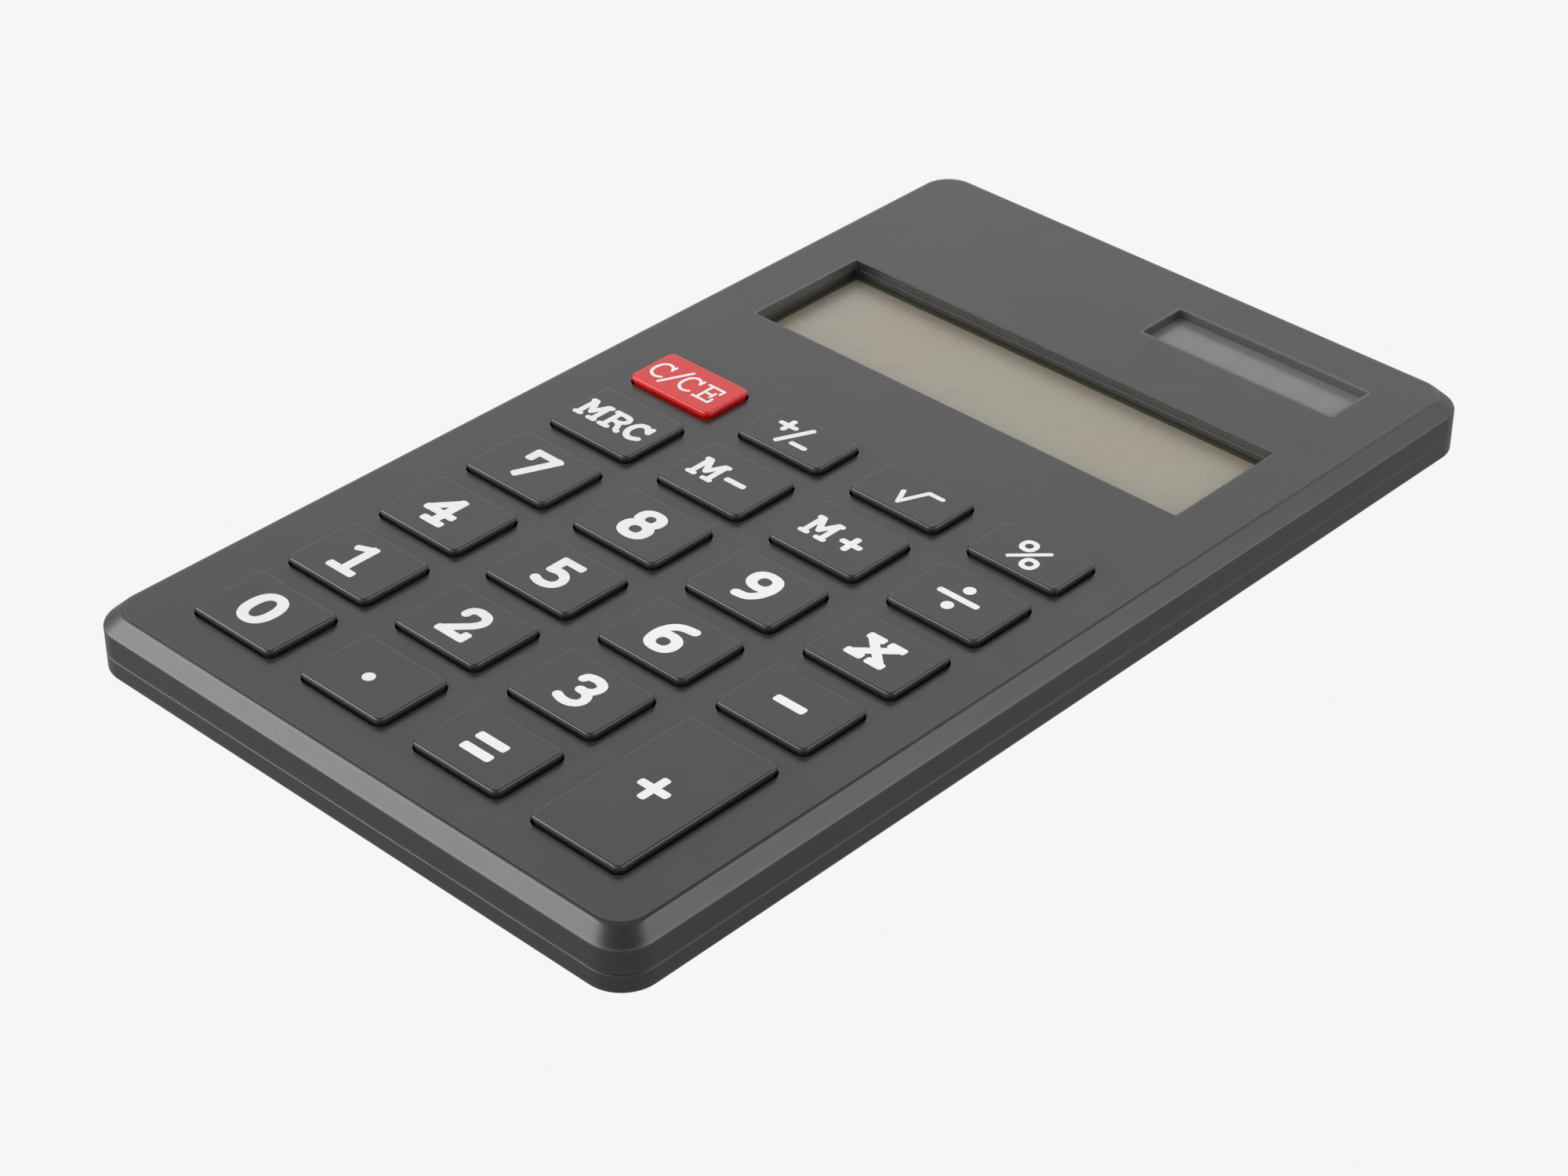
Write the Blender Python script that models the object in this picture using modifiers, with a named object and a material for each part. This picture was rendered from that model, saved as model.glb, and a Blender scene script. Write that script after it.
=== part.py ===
"""Desk calculator: a two-shell case, 23 sprung keys, a display, a solar cell and what they need inside.

Metres, +Z up, +Y from the keypad towards the display, +X to the calculator's right.
The origin is on the surface that the calculator stands on, below the middle of the case.
"""

import math

import bmesh
import bpy
from mathutils import Matrix, Vector

MM = 0.001

# Case
BODY_WIDTH = 94.0 * MM
BODY_LENGTH = 159.5 * MM
BODY_HEIGHT = 8.2 * MM
CORNER_RADIUS = 5.2 * MM
TOP_CORNER_RADIUS = 4.2 * MM
TOP_CHAMFER = 2.0 * MM
BOTTOM_CHAMFER = 0.3 * MM
WALL = 1.5 * MM
PANEL = 1.3 * MM
PANEL_HAUNCH = 1.0 * MM  # sloped inner corner where the side wall meets the panel
FLOOR = 1.3 * MM
SEAM_HEIGHT = 2.8 * MM  # from the underside of the case to the parting line
SEAM_GAP = 0.2 * MM
TONGUE_WALL = 0.7 * MM
TONGUE_HEIGHT = 0.9 * MM

# Clearances
GAP = 0.25 * MM  # between pieces that touch on the real object
CUT_PAST = 1.0 * MM  # how far a cutter runs past the face it opens
MERGE_DEPTH = 0.5 * MM  # how far a joined shape starts inside the body it joins
SCREW_GAP = 0.2 * MM  # around a screw's shank and head

# Keypad
KEY_WIDTH = 15.0 * MM  # openings in the panel; the caps are smaller by the clearance
KEY_LENGTH = 11.5 * MM
TOP_KEY_LENGTH = 8.7 * MM
LEFT_MARGIN = 10.0 * MM  # from the case's left side to the first openings
RIGHT_MARGIN = 9.0 * MM
FRONT_MARGIN = 8.5 * MM  # from the front of the case to the first openings
KEYS_TO_DISPLAY = 16.35 * MM  # between the top row's openings and the display opening
KEY_CORNER = 1.2 * MM
KEY_CLEARANCE = 0.2 * MM
KEY_RISE = 1.0 * MM
KEY_BEVEL = 0.45 * MM
KEY_FLANGE_SHARE = 0.8 / 3.5  # the flange reaches past the opening by this share of the gap
KEY_FLANGE_HEIGHT = 0.6 * MM
PLUNGER_RADIUS = 1.8 * MM
PLUNGER_LENGTH = 0.5 * MM

# Rubber mat
MAT_THICKNESS = 0.5 * MM
MAT_MARGIN = 1.2 * MM  # past the key flanges at the front and the rear
MAT_SIDE_MARGIN = 0.1 * MM  # past the key flanges at the sides
DOME_HEIGHT = 0.8 * MM
DOME_RADIUS = 3.4 * MM
DOME_TOP_RADIUS = 2.4 * MM
DOME_SKIN = 0.4 * MM

# Board and the parts on it
BOARD_THICKNESS = 1.0 * MM
BOARD_MARGIN = 0.4 * MM  # past the mat at the front
PARTS_STRIP = 7.5 * MM  # bare board between the mat and the display
CHIP_RADIUS = 3.0 * MM
CHIP_TOP_RADIUS = 1.8 * MM
CHIP_HEIGHT = 1.1 * MM
CHIP_OFFSET = -29.0 * MM
CAPACITOR_SIZE = (4.2 * MM, 2.6 * MM, 1.8 * MM)
CAPACITOR_OFFSET = 26.5 * MM
RESONATOR_SIZE = (3.2 * MM, 5.0 * MM, 1.2 * MM)
RESONATOR_OFFSET = 33.5 * MM

# Display
WINDOW_SIDE_MARGIN = 9.95 * MM  # from the case's sides to the display and solar openings
LCD_WINDOW_LENGTH = 20.6 * MM
LCD_MARGIN = 3.0 * MM  # the frame, the window and the glass reach this far past the opening
LCD_THICKNESS = 1.5 * MM
WINDOW_THICKNESS = 0.45 * MM
FRAME_THICKNESS = 0.45 * MM
FRAME_LEDGE = 0.1 * MM  # the frame shows this far inside the opening
TRAY_FLOOR = 0.6 * MM
TRAY_WALL = 0.8 * MM
RIBBON_WIDTH = 32.0 * MM
RIBBON_THICKNESS = 0.2 * MM
RIBBON_LAP = 3.5 * MM  # how far the ribbon lies on the board
RIBBON_RISE = 0.6 * MM

# Solar cell
SOLAR_WINDOW_WIDTH = 32.05 * MM
SOLAR_WINDOW_LENGTH = 8.3 * MM
REAR_MARGIN = 9.65 * MM  # from the rear of the case to the solar opening
DISPLAY_GAP = 12.4 * MM  # between the solar opening and the display opening
SOLAR_LAP = 1.6 * MM  # the cell reaches this far under the panel
SOLAR_THICKNESS = 1.1 * MM

# Leads
WIRE_RADIUS = 0.4 * MM
WIRE_SPACING = 2.2 * MM
WIRE_LAP = 2.0 * MM  # how far a lead lies on the board
WIRE_TURN_SHARE = 0.15  # a lead starts to drop after this share of its way to the display
WIRE_DROP_SHARE = 0.65  # and is down after this share

# Battery, an 11.6 x 3.05 mm button cell
CELL_RADIUS = 5.8 * MM
CELL_HEIGHT = 3.05 * MM
CELL_CLEARANCE = 0.4 * MM
CELL_OFFSET = -5.0 * MM  # from the middle of the battery cover
BATTERY_OFFSET = -12.0 * MM  # from the case's middle to the cover's middle
BATTERY_REAR_MARGIN = 13.75 * MM  # from the rear of the case to the cover's middle
COVER_WIDTH = 26.0 * MM
COVER_LENGTH = 16.0 * MM
COVER_THICKNESS = 1.4 * MM
COVER_CORNER = 1.5 * MM
COVER_SCREW_OFFSET = 9.7 * MM
COVER_SCREW_REACH = 2.0 * MM  # past the cover's inner face
COVER_HEAD_HEIGHT = 0.6 * MM
BATTERY_BOX_WALL = 2.0 * MM
CONTACT_THICKNESS = 0.2 * MM
CONTACT_WIDTH = 4.8 * MM
CONTACT_LIFT = 0.3 * MM  # of the slot's floor above the cell's rest height

# Feet
FOOT_RADIUS = 4.5 * MM
FOOT_STAND = 0.6 * MM  # how far the feet hold the case off the surface
FOOT_SEAT = 0.35 * MM  # how deep a foot sits in its recess
FOOT_SIDE_MARGIN = 12.0 * MM
FOOT_END_MARGIN = 13.75 * MM

# Case screws
CASE_SCREW_RADIUS = 1.0 * MM
CASE_SCREW_LENGTH = 4.6 * MM
CASE_HEAD_RADIUS = 1.9 * MM
CASE_HEAD_HEIGHT = 1.2 * MM
CASE_BOSS_WALL = 1.2 * MM
CASE_BOSS_FLOOR = 1.4 * MM  # plastic that each screw clamps
HEAD_RECESS = 0.2 * MM  # the heads sit this far inside the case
BOSS_SIDE_ROOM = 0.15 * MM  # between a boss and the tongue beside it
BOSS_END_ROOM = 0.4 * MM

# Board screws
BOARD_SCREW_RADIUS = 0.65 * MM
BOARD_SCREW_LENGTH = 3.3 * MM
BOARD_HEAD_RADIUS = 1.3 * MM
BOARD_HEAD_HEIGHT = 0.75 * MM
BOARD_POST_WALL = 0.7 * MM

# Shape of every screw
SCREW_POINT_SHARE = 0.5  # radius of the point, of the shank's
HEAD_SIDE_SHARE = 0.6  # height of the head's straight side, of its height
HEAD_FACE_SHARE = 0.75  # radius of the head's flat face, of its radius

# Smoothness
CASE_CORNER_SEGMENTS = 6
KEY_CORNER_SEGMENTS = 2
ROUND_SEGMENTS = 16
SMALL_ROUND_SEGMENTS = 10
DOME_SEGMENTS = 8
RIBBON_STEPS = 8

KEY_ROWS = (
    ("clear", "sign", "square_root", "percent"),
    ("memory_recall", "memory_minus", "memory_plus", "divide"),
    ("7", "8", "9", "multiply"),
    ("4", "5", "6", "minus"),
    ("1", "2", "3", "plus"),
    ("0", "point", "equals"),
)
TALL_KEY = "plus"

# Heights, from the surface that the calculator stands on
case_bottom = FOOT_STAND
case_top = case_bottom + BODY_HEIGHT
floor_top = case_bottom + FLOOR
panel_under = case_top - PANEL
back_rim = case_bottom + SEAM_HEIGHT - SEAM_GAP / 2
front_rim = case_bottom + SEAM_HEIGHT + SEAM_GAP / 2
tongue_top = back_rim + TONGUE_HEIGHT
flange_top = panel_under - GAP
flange_bottom = flange_top - KEY_FLANGE_HEIGHT
plunger_bottom = flange_bottom - PLUNGER_LENGTH
dome_top = plunger_bottom - GAP
mat_top = dome_top - DOME_HEIGHT
mat_bottom = mat_top - MAT_THICKNESS
board_top = mat_bottom - GAP
board_bottom = board_top - BOARD_THICKNESS
frame_top = panel_under - GAP
frame_bottom = frame_top - FRAME_THICKNESS
window_top = frame_bottom - GAP
window_bottom = window_top - WINDOW_THICKNESS
lcd_top = window_bottom - GAP
lcd_bottom = lcd_top - LCD_THICKNESS
tray_bottom = lcd_bottom - GAP - TRAY_FLOOR
solar_top = panel_under - GAP
solar_bottom = solar_top - SOLAR_THICKNESS
cover_top = case_bottom + COVER_THICKNESS
cell_bottom = cover_top + GAP
cell_top = cell_bottom + CELL_HEIGHT
contact_bottom = cell_top + GAP
contact_slot_bottom = cell_bottom + CONTACT_LIFT
case_screw_seat = case_bottom + HEAD_RECESS + CASE_HEAD_HEIGHT + SCREW_GAP
back_boss_top = case_screw_seat + CASE_BOSS_FLOOR
cover_screw_seat = case_bottom + HEAD_RECESS + COVER_HEAD_HEIGHT + SCREW_GAP
cover_screw_end = cover_top + COVER_SCREW_REACH

# Places in plan
case_half = (BODY_WIDTH / 2, BODY_LENGTH / 2)
inner_half = (case_half[0] - WALL, case_half[1] - WALL)
tongue_half = (inner_half[0] - GAP, inner_half[1] - GAP)
hollow_half = (tongue_half[0] - TONGUE_WALL, tongue_half[1] - TONGUE_WALL)
window_half = (case_half[0] - WINDOW_SIDE_MARGIN, LCD_WINDOW_LENGTH / 2)
solar_middle = (
    case_half[0] - WINDOW_SIDE_MARGIN - SOLAR_WINDOW_WIDTH / 2,
    case_half[1] - REAR_MARGIN - SOLAR_WINDOW_LENGTH / 2,
)
lcd_middle = (0.0, solar_middle[1] - SOLAR_WINDOW_LENGTH / 2 - DISPLAY_GAP - window_half[1])
lcd_half = (window_half[0] + LCD_MARGIN, window_half[1] + LCD_MARGIN)
keypad_front = -case_half[1] + FRONT_MARGIN
keypad_rear = lcd_middle[1] - window_half[1] - KEYS_TO_DISPLAY
last_row = len(KEY_ROWS) - 1
last_column = len(KEY_ROWS[0]) - 1
column_pitch = (BODY_WIDTH - LEFT_MARGIN - RIGHT_MARGIN - KEY_WIDTH) / last_column
row_pitch = (keypad_rear - TOP_KEY_LENGTH - keypad_front) / last_row
row_gap = row_pitch - KEY_LENGTH
key_flange = KEY_FLANGE_SHARE * min(column_pitch - KEY_WIDTH, row_gap)
first_column = -case_half[0] + LEFT_MARGIN + KEY_WIDTH / 2
mat_low = (
    -case_half[0] + LEFT_MARGIN - key_flange - MAT_SIDE_MARGIN,
    keypad_front - key_flange - MAT_MARGIN,
)
mat_high = (
    case_half[0] - RIGHT_MARGIN + key_flange + MAT_SIDE_MARGIN,
    keypad_rear + key_flange + MAT_MARGIN,
)
board_low = (mat_low[0], mat_low[1] - BOARD_MARGIN)
board_high = (mat_high[0], mat_high[1] + PARTS_STRIP)
strip_middle = (mat_high[1] + board_high[1]) / 2
tray_inner = (lcd_half[0] + GAP, lcd_half[1] + GAP)
tray_outer = (tray_inner[0] + TRAY_WALL, tray_inner[1] + TRAY_WALL)
tray_front = lcd_middle[1] - tray_outer[1]
battery_middle = (BATTERY_OFFSET, case_half[1] - BATTERY_REAR_MARGIN)
cell_middle = (battery_middle[0] + CELL_OFFSET, battery_middle[1])
cover_screw_at = (battery_middle[0] + COVER_SCREW_OFFSET, battery_middle[1])
pocket_radius = CELL_RADIUS + CELL_CLEARANCE
case_bore_radius = CASE_SCREW_RADIUS + SCREW_GAP
case_boss_radius = case_bore_radius + CASE_BOSS_WALL
board_bore_radius = BOARD_SCREW_RADIUS + SCREW_GAP
board_post_radius = board_bore_radius + BOARD_POST_WALL


def clear_scene():
    for obj in list(bpy.data.objects):
        bpy.data.objects.remove(obj, do_unlink=True)
    for block in list(bpy.data.collections):
        bpy.data.collections.remove(block)


def new_collection(name):
    made = bpy.data.collections.new(name)
    bpy.context.scene.collection.children.link(made)
    return made


def plastic(name, color, roughness, metallic=0.0, alpha=1.0, transmission=0.0):
    """A Principled material with one colour."""
    made = bpy.data.materials.new(name)
    made.use_nodes = True
    shader = made.node_tree.nodes["Principled BSDF"]
    shader.inputs["Base Color"].default_value = (*color, 1.0)
    shader.inputs["Roughness"].default_value = roughness
    shader.inputs["Metallic"].default_value = metallic
    shader.inputs["Alpha"].default_value = alpha
    shader.inputs["Transmission Weight"].default_value = transmission
    return made


def rounded_outline(half_x, half_y, radius, segments):
    """Points round a rectangle with round corners, anticlockwise from the right side."""
    points = []
    for corner, (side_x, side_y) in enumerate(((1, 1), (-1, 1), (-1, -1), (1, -1))):
        middle = Vector((side_x * (half_x - radius), side_y * (half_y - radius)))
        for step in range(segments + 1):
            angle = math.radians(90 * corner + 90 * step / segments)
            points.append(middle + radius * Vector((math.cos(angle), math.sin(angle))))
    return points


def add_loft(mesh, sections, segments, middle=(0.0, 0.0)):
    """Joins rounded rectangles (half_x, half_y, radius, z), listed upwards, into one closed body."""
    rings = []
    for half_x, half_y, radius, z in sections:
        outline = rounded_outline(half_x, half_y, radius, segments)
        rings.append([mesh.verts.new((x + middle[0], y + middle[1], z)) for x, y in outline])
    count = len(rings[0])
    for lower, upper in zip(rings, rings[1:]):
        for i in range(count):
            j = (i + 1) % count
            mesh.faces.new((lower[i], lower[j], upper[j], upper[i]))
    mesh.faces.new(rings[0][::-1])
    mesh.faces.new(rings[-1])


def add_box(mesh, low, high):
    size = [b - a for a, b in zip(low, high)]
    middle = [(a + b) / 2 for a, b in zip(low, high)]
    matrix = Matrix.Translation(middle) @ Matrix.Diagonal((*size, 1.0))
    bmesh.ops.create_cube(mesh, size=1.0, matrix=matrix)


def add_round(mesh, middle, radius, low, high, segments, top_radius=None):
    """An upright cylinder, or a cone where top_radius differs."""
    matrix = Matrix.Translation((middle[0], middle[1], (low + high) / 2))
    bmesh.ops.create_cone(
        mesh,
        cap_ends=True,
        segments=segments,
        radius1=radius,
        radius2=radius if top_radius is None else top_radius,
        depth=high - low,
        matrix=matrix,
    )


def finish_object(name, mesh, origin, collection, material=None):
    """Makes an object from a mesh built in world coordinates, with its origin where it's wanted."""
    bmesh.ops.translate(mesh, vec=-Vector(origin), verts=mesh.verts)
    data = bpy.data.meshes.new(name)
    mesh.to_mesh(data)
    mesh.free()
    data.shade_smooth()
    data.set_sharp_from_angle(angle=math.radians(30))
    made = bpy.data.objects.new(name, data)
    made.location = origin
    collection.objects.link(made)
    if material:
        data.materials.append(material)
    if collection == parts:
        made.parent = stand
    return made


def apply_tool(target, name, mesh, operation):
    """Cuts the target with the mesh, or joins the mesh to it."""
    tool = finish_object(name, mesh, (0.0, 0.0, 0.0), cutters)
    tool.hide_render = True
    tool.display_type = "WIRE"
    modifier = target.modifiers.new(name, "BOOLEAN")
    modifier.operation = operation
    modifier.object = tool


def key_places():
    """Every key's name, middle and length, row by row from the display."""
    places = []
    for row, names in enumerate(KEY_ROWS):
        for column, name in enumerate(names):
            x = first_column + column * column_pitch
            length = TOP_KEY_LENGTH if row == 0 else KEY_LENGTH
            y = keypad_front + (last_row - row) * row_pitch + length / 2
            if name == TALL_KEY:
                length += row_pitch
                y -= row_pitch / 2
            places.append((name, (x, y), length))
    return places


def board_post_places():
    """Where four keys' corners meet, clear of the tall key."""
    places = []
    for column_gap, side in ((0.5, "left"), (2.5, "right")):
        for row_from_front, end in ((2, "front"), (4, "rear")):
            x = first_column + column_gap * column_pitch
            y = keypad_front + row_from_front * row_pitch - row_gap / 2
            places.append((f"{end}_{side}", (x, y)))
    return places


def case_screw_places():
    across = hollow_half[0] - BOSS_SIDE_ROOM - case_boss_radius
    along = hollow_half[1] - BOSS_END_ROOM - case_boss_radius
    places = []
    for x, side in ((-across, "left"), (across, "right")):
        for y, end in ((-along, "front"), (strip_middle, "middle"), (along, "rear")):
            places.append((f"{end}_{side}", (x, y)))
    return places


def foot_places():
    across = case_half[0] - FOOT_SIDE_MARGIN
    along = case_half[1] - FOOT_END_MARGIN
    places = []
    for x, side in ((-across, "left"), (across, "right")):
        for y, end in ((-along, "front"), (along, "rear")):
            places.append((f"{end}_{side}", (x, y)))
    return places


def build_front_shell(material):
    mesh = bmesh.new()
    top_half = (case_half[0] - TOP_CHAMFER, case_half[1] - TOP_CHAMFER)
    add_loft(
        mesh,
        (
            (*case_half, CORNER_RADIUS, front_rim),
            (*case_half, CORNER_RADIUS, case_top - TOP_CHAMFER),
            (*top_half, TOP_CORNER_RADIUS, case_top),
        ),
        CASE_CORNER_SEGMENTS,
    )
    shell = finish_object("front_shell", mesh, (0.0, 0.0, front_rim), parts, material)

    inner_radius = CORNER_RADIUS - WALL
    haunch_half = (inner_half[0] - PANEL_HAUNCH, inner_half[1] - PANEL_HAUNCH)
    cavity = bmesh.new()
    add_loft(
        cavity,
        (
            (*inner_half, inner_radius, front_rim - CUT_PAST),
            (*inner_half, inner_radius, panel_under - PANEL_HAUNCH),
            (*haunch_half, inner_radius, panel_under),
        ),
        CASE_CORNER_SEGMENTS,
    )
    apply_tool(shell, "front_cavity", cavity, "DIFFERENCE")

    openings = bmesh.new()
    low, high = panel_under - CUT_PAST, case_top + CUT_PAST
    for _, middle, length in key_places():
        section = (KEY_WIDTH / 2, length / 2, KEY_CORNER)
        add_loft(openings, ((*section, low), (*section, high)), KEY_CORNER_SEGMENTS, middle)
    for middle, width, length in (
        (lcd_middle, 2 * window_half[0], LCD_WINDOW_LENGTH),
        (solar_middle, SOLAR_WINDOW_WIDTH, SOLAR_WINDOW_LENGTH),
    ):
        add_box(
            openings,
            (middle[0] - width / 2, middle[1] - length / 2, low),
            (middle[0] + width / 2, middle[1] + length / 2, high),
        )
    apply_tool(shell, "front_openings", openings, "DIFFERENCE")

    bosses = bmesh.new()
    boss_top = panel_under + MERGE_DEPTH
    low = back_boss_top + GAP
    for _, middle in case_screw_places():
        add_round(bosses, middle, case_boss_radius, low, boss_top, ROUND_SEGMENTS)
    low = board_top + GAP
    for _, middle in board_post_places():
        add_round(bosses, middle, board_post_radius, low, boss_top, ROUND_SEGMENTS)
    apply_tool(shell, "front_bosses", bosses, "UNION")

    bores = bmesh.new()
    for _, middle in case_screw_places():
        add_round(
            bores,
            middle,
            case_bore_radius,
            back_boss_top + GAP - CUT_PAST,
            case_screw_seat - SCREW_GAP + CASE_SCREW_LENGTH + GAP,
            SMALL_ROUND_SEGMENTS,
        )
    for _, middle in board_post_places():
        add_round(
            bores,
            middle,
            board_bore_radius,
            board_top + GAP - CUT_PAST,
            board_bottom + BOARD_SCREW_LENGTH,
            SMALL_ROUND_SEGMENTS,
        )
    apply_tool(shell, "front_bores", bores, "DIFFERENCE")


def build_back_shell(material):
    mesh = bmesh.new()
    bottom_half = (case_half[0] - BOTTOM_CHAMFER, case_half[1] - BOTTOM_CHAMFER)
    tongue_radius = CORNER_RADIUS - WALL - GAP
    add_loft(
        mesh,
        (
            (*bottom_half, CORNER_RADIUS - BOTTOM_CHAMFER, case_bottom),
            (*case_half, CORNER_RADIUS, case_bottom + BOTTOM_CHAMFER),
            (*case_half, CORNER_RADIUS, back_rim),
            (*tongue_half, tongue_radius, back_rim),
            (*tongue_half, tongue_radius, tongue_top),
        ),
        CASE_CORNER_SEGMENTS,
    )
    shell = finish_object("back_shell", mesh, (0.0, 0.0, case_bottom), parts, material)

    hollow_radius = tongue_radius - TONGUE_WALL
    cavity = bmesh.new()
    add_loft(
        cavity,
        (
            (*hollow_half, hollow_radius, floor_top),
            (*hollow_half, hollow_radius, tongue_top + CUT_PAST),
        ),
        CASE_CORNER_SEGMENTS,
    )
    apply_tool(shell, "back_cavity", cavity, "DIFFERENCE")

    raised = bmesh.new()
    boss_radius = CASE_HEAD_RADIUS + SCREW_GAP + CASE_BOSS_WALL / 2
    for _, middle in case_screw_places():
        add_round(
            raised, middle, boss_radius, floor_top - MERGE_DEPTH, back_boss_top, ROUND_SEGMENTS
        )
    box_x = COVER_WIDTH / 2 + BATTERY_BOX_WALL
    box_y = COVER_LENGTH / 2 + BATTERY_BOX_WALL
    add_box(
        raised,
        (battery_middle[0] - box_x, battery_middle[1] - box_y, floor_top - MERGE_DEPTH),
        (battery_middle[0] + box_x, battery_middle[1] + box_y, cell_top),
    )
    apply_tool(shell, "back_bosses", raised, "UNION")

    cuts = bmesh.new()
    below = case_bottom - CUT_PAST
    for _, middle in case_screw_places():
        head_radius = CASE_HEAD_RADIUS + SCREW_GAP
        add_round(cuts, middle, head_radius, below, case_screw_seat, ROUND_SEGMENTS)
    for _, middle in foot_places():
        recess_top = case_bottom + FOOT_SEAT + GAP
        add_round(cuts, middle, FOOT_RADIUS + GAP, below, recess_top, ROUND_SEGMENTS)
    section = (COVER_WIDTH / 2 + GAP, COVER_LENGTH / 2 + GAP, COVER_CORNER)
    add_loft(
        cuts,
        ((*section, below), (*section, cover_top + GAP)),
        KEY_CORNER_SEGMENTS,
        battery_middle,
    )
    apply_tool(shell, "back_recesses", cuts, "DIFFERENCE")

    bores = bmesh.new()
    for _, middle in case_screw_places():
        add_round(
            bores,
            middle,
            case_bore_radius,
            case_screw_seat - CUT_PAST,
            back_boss_top + CUT_PAST,
            SMALL_ROUND_SEGMENTS,
        )
    add_round(bores, cell_middle, pocket_radius, cover_top, cell_top + CUT_PAST, ROUND_SEGMENTS)
    bore_top = cover_screw_end + GAP
    add_round(
        bores, cover_screw_at, case_bore_radius, cover_top, bore_top, SMALL_ROUND_SEGMENTS
    )
    apply_tool(shell, "back_bores", bores, "DIFFERENCE")

    slot = bmesh.new()
    slot_right = cell_middle[0] + pocket_radius + 2 * GAP + CONTACT_THICKNESS
    add_box(
        slot,
        (cell_middle[0], cell_middle[1] - CONTACT_WIDTH / 2 - GAP, contact_slot_bottom),
        (slot_right, cell_middle[1] + CONTACT_WIDTH / 2 + GAP, cell_top + CUT_PAST),
    )
    apply_tool(shell, "contact_slot", slot, "DIFFERENCE")


def build_key(name, middle, length, material):
    """A cap with a flange that the panel holds down and a plunger over its dome."""
    mesh = bmesh.new()
    flange = (KEY_WIDTH / 2 + key_flange, length / 2 + key_flange, KEY_CORNER)
    cap = (KEY_WIDTH / 2 - KEY_CLEARANCE, length / 2 - KEY_CLEARANCE, KEY_CORNER - KEY_CLEARANCE)
    face = tuple(size - KEY_BEVEL for size in cap)
    plunger = (PLUNGER_RADIUS, PLUNGER_RADIUS, PLUNGER_RADIUS)
    add_loft(
        mesh,
        (
            (*plunger, plunger_bottom),
            (*plunger, flange_bottom),
            (*flange, flange_bottom),
            (*flange, flange_top),
            (*cap, flange_top),
            (*cap, case_top + KEY_RISE - KEY_BEVEL),
            (*face, case_top + KEY_RISE),
        ),
        KEY_CORNER_SEGMENTS,
        middle,
    )
    finish_object(f"key_{name}", mesh, (*middle, case_top), parts, material)


def build_keypad_mat(material):
    mesh = bmesh.new()
    add_box(mesh, (*mat_low, mat_bottom), (*mat_high, mat_top))
    mat = finish_object("keypad_mat", mesh, (0.0, 0.0, mat_bottom), parts, material)
    domes, hollows, holes = bmesh.new(), bmesh.new(), bmesh.new()
    for _, middle, _ in key_places():
        add_round(
            domes,
            middle,
            DOME_RADIUS,
            mat_top - MAT_THICKNESS / 2,
            dome_top,
            DOME_SEGMENTS,
            DOME_TOP_RADIUS,
        )
        add_round(
            hollows,
            middle,
            DOME_RADIUS - DOME_SKIN,
            mat_bottom - GAP,
            dome_top - DOME_SKIN,
            DOME_SEGMENTS,
            DOME_TOP_RADIUS - DOME_SKIN,
        )
    for _, middle in board_post_places():
        add_round(
            holes,
            middle,
            board_post_radius + GAP,
            mat_bottom - CUT_PAST,
            mat_top + CUT_PAST,
            ROUND_SEGMENTS,
        )
    apply_tool(mat, "domes", domes, "UNION")
    apply_tool(mat, "dome_hollows", hollows, "DIFFERENCE")
    apply_tool(mat, "mat_holes", holes, "DIFFERENCE")


def build_board(board_material, chip_material, capacitor_material, metal):
    mesh = bmesh.new()
    add_box(mesh, (*board_low, board_bottom), (*board_high, board_top))
    board = finish_object("main_board", mesh, (0.0, 0.0, board_bottom), parts, board_material)
    holes = bmesh.new()
    for _, middle in board_post_places():
        add_round(
            holes,
            middle,
            board_bore_radius,
            board_bottom - CUT_PAST,
            board_top + CUT_PAST,
            SMALL_ROUND_SEGMENTS,
        )
    apply_tool(board, "board_holes", holes, "DIFFERENCE")

    chip = bmesh.new()
    low = board_top + GAP
    middle = (CHIP_OFFSET, strip_middle)
    high = low + CHIP_HEIGHT
    add_round(chip, middle, CHIP_RADIUS, low, high, ROUND_SEGMENTS, CHIP_TOP_RADIUS)
    finish_object("processor_chip", chip, (*middle, low), parts, chip_material)
    for name, offset, size, material in (
        ("capacitor", CAPACITOR_OFFSET, CAPACITOR_SIZE, capacitor_material),
        ("resonator", RESONATOR_OFFSET, RESONATOR_SIZE, metal),
    ):
        mesh = bmesh.new()
        half = (size[0] / 2, size[1] / 2)
        add_box(
            mesh,
            (offset - half[0], strip_middle - half[1], low),
            (offset + half[0], strip_middle + half[1], low + size[2]),
        )
        finish_object(name, mesh, (offset, strip_middle, low), parts, material)


def ring_object(name, inner, outer, low, high, middle, material):
    """A flat rectangular frame."""
    mesh = bmesh.new()
    add_box(
        mesh,
        (middle[0] - outer[0], middle[1] - outer[1], low),
        (middle[0] + outer[0], middle[1] + outer[1], high),
    )
    ring = finish_object(name, mesh, (*middle, low), parts, material)
    hole = bmesh.new()
    add_box(
        hole,
        (middle[0] - inner[0], middle[1] - inner[1], low - CUT_PAST),
        (middle[0] + inner[0], middle[1] + inner[1], high + CUT_PAST),
    )
    apply_tool(ring, f"{name}_opening", hole, "DIFFERENCE")


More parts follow.
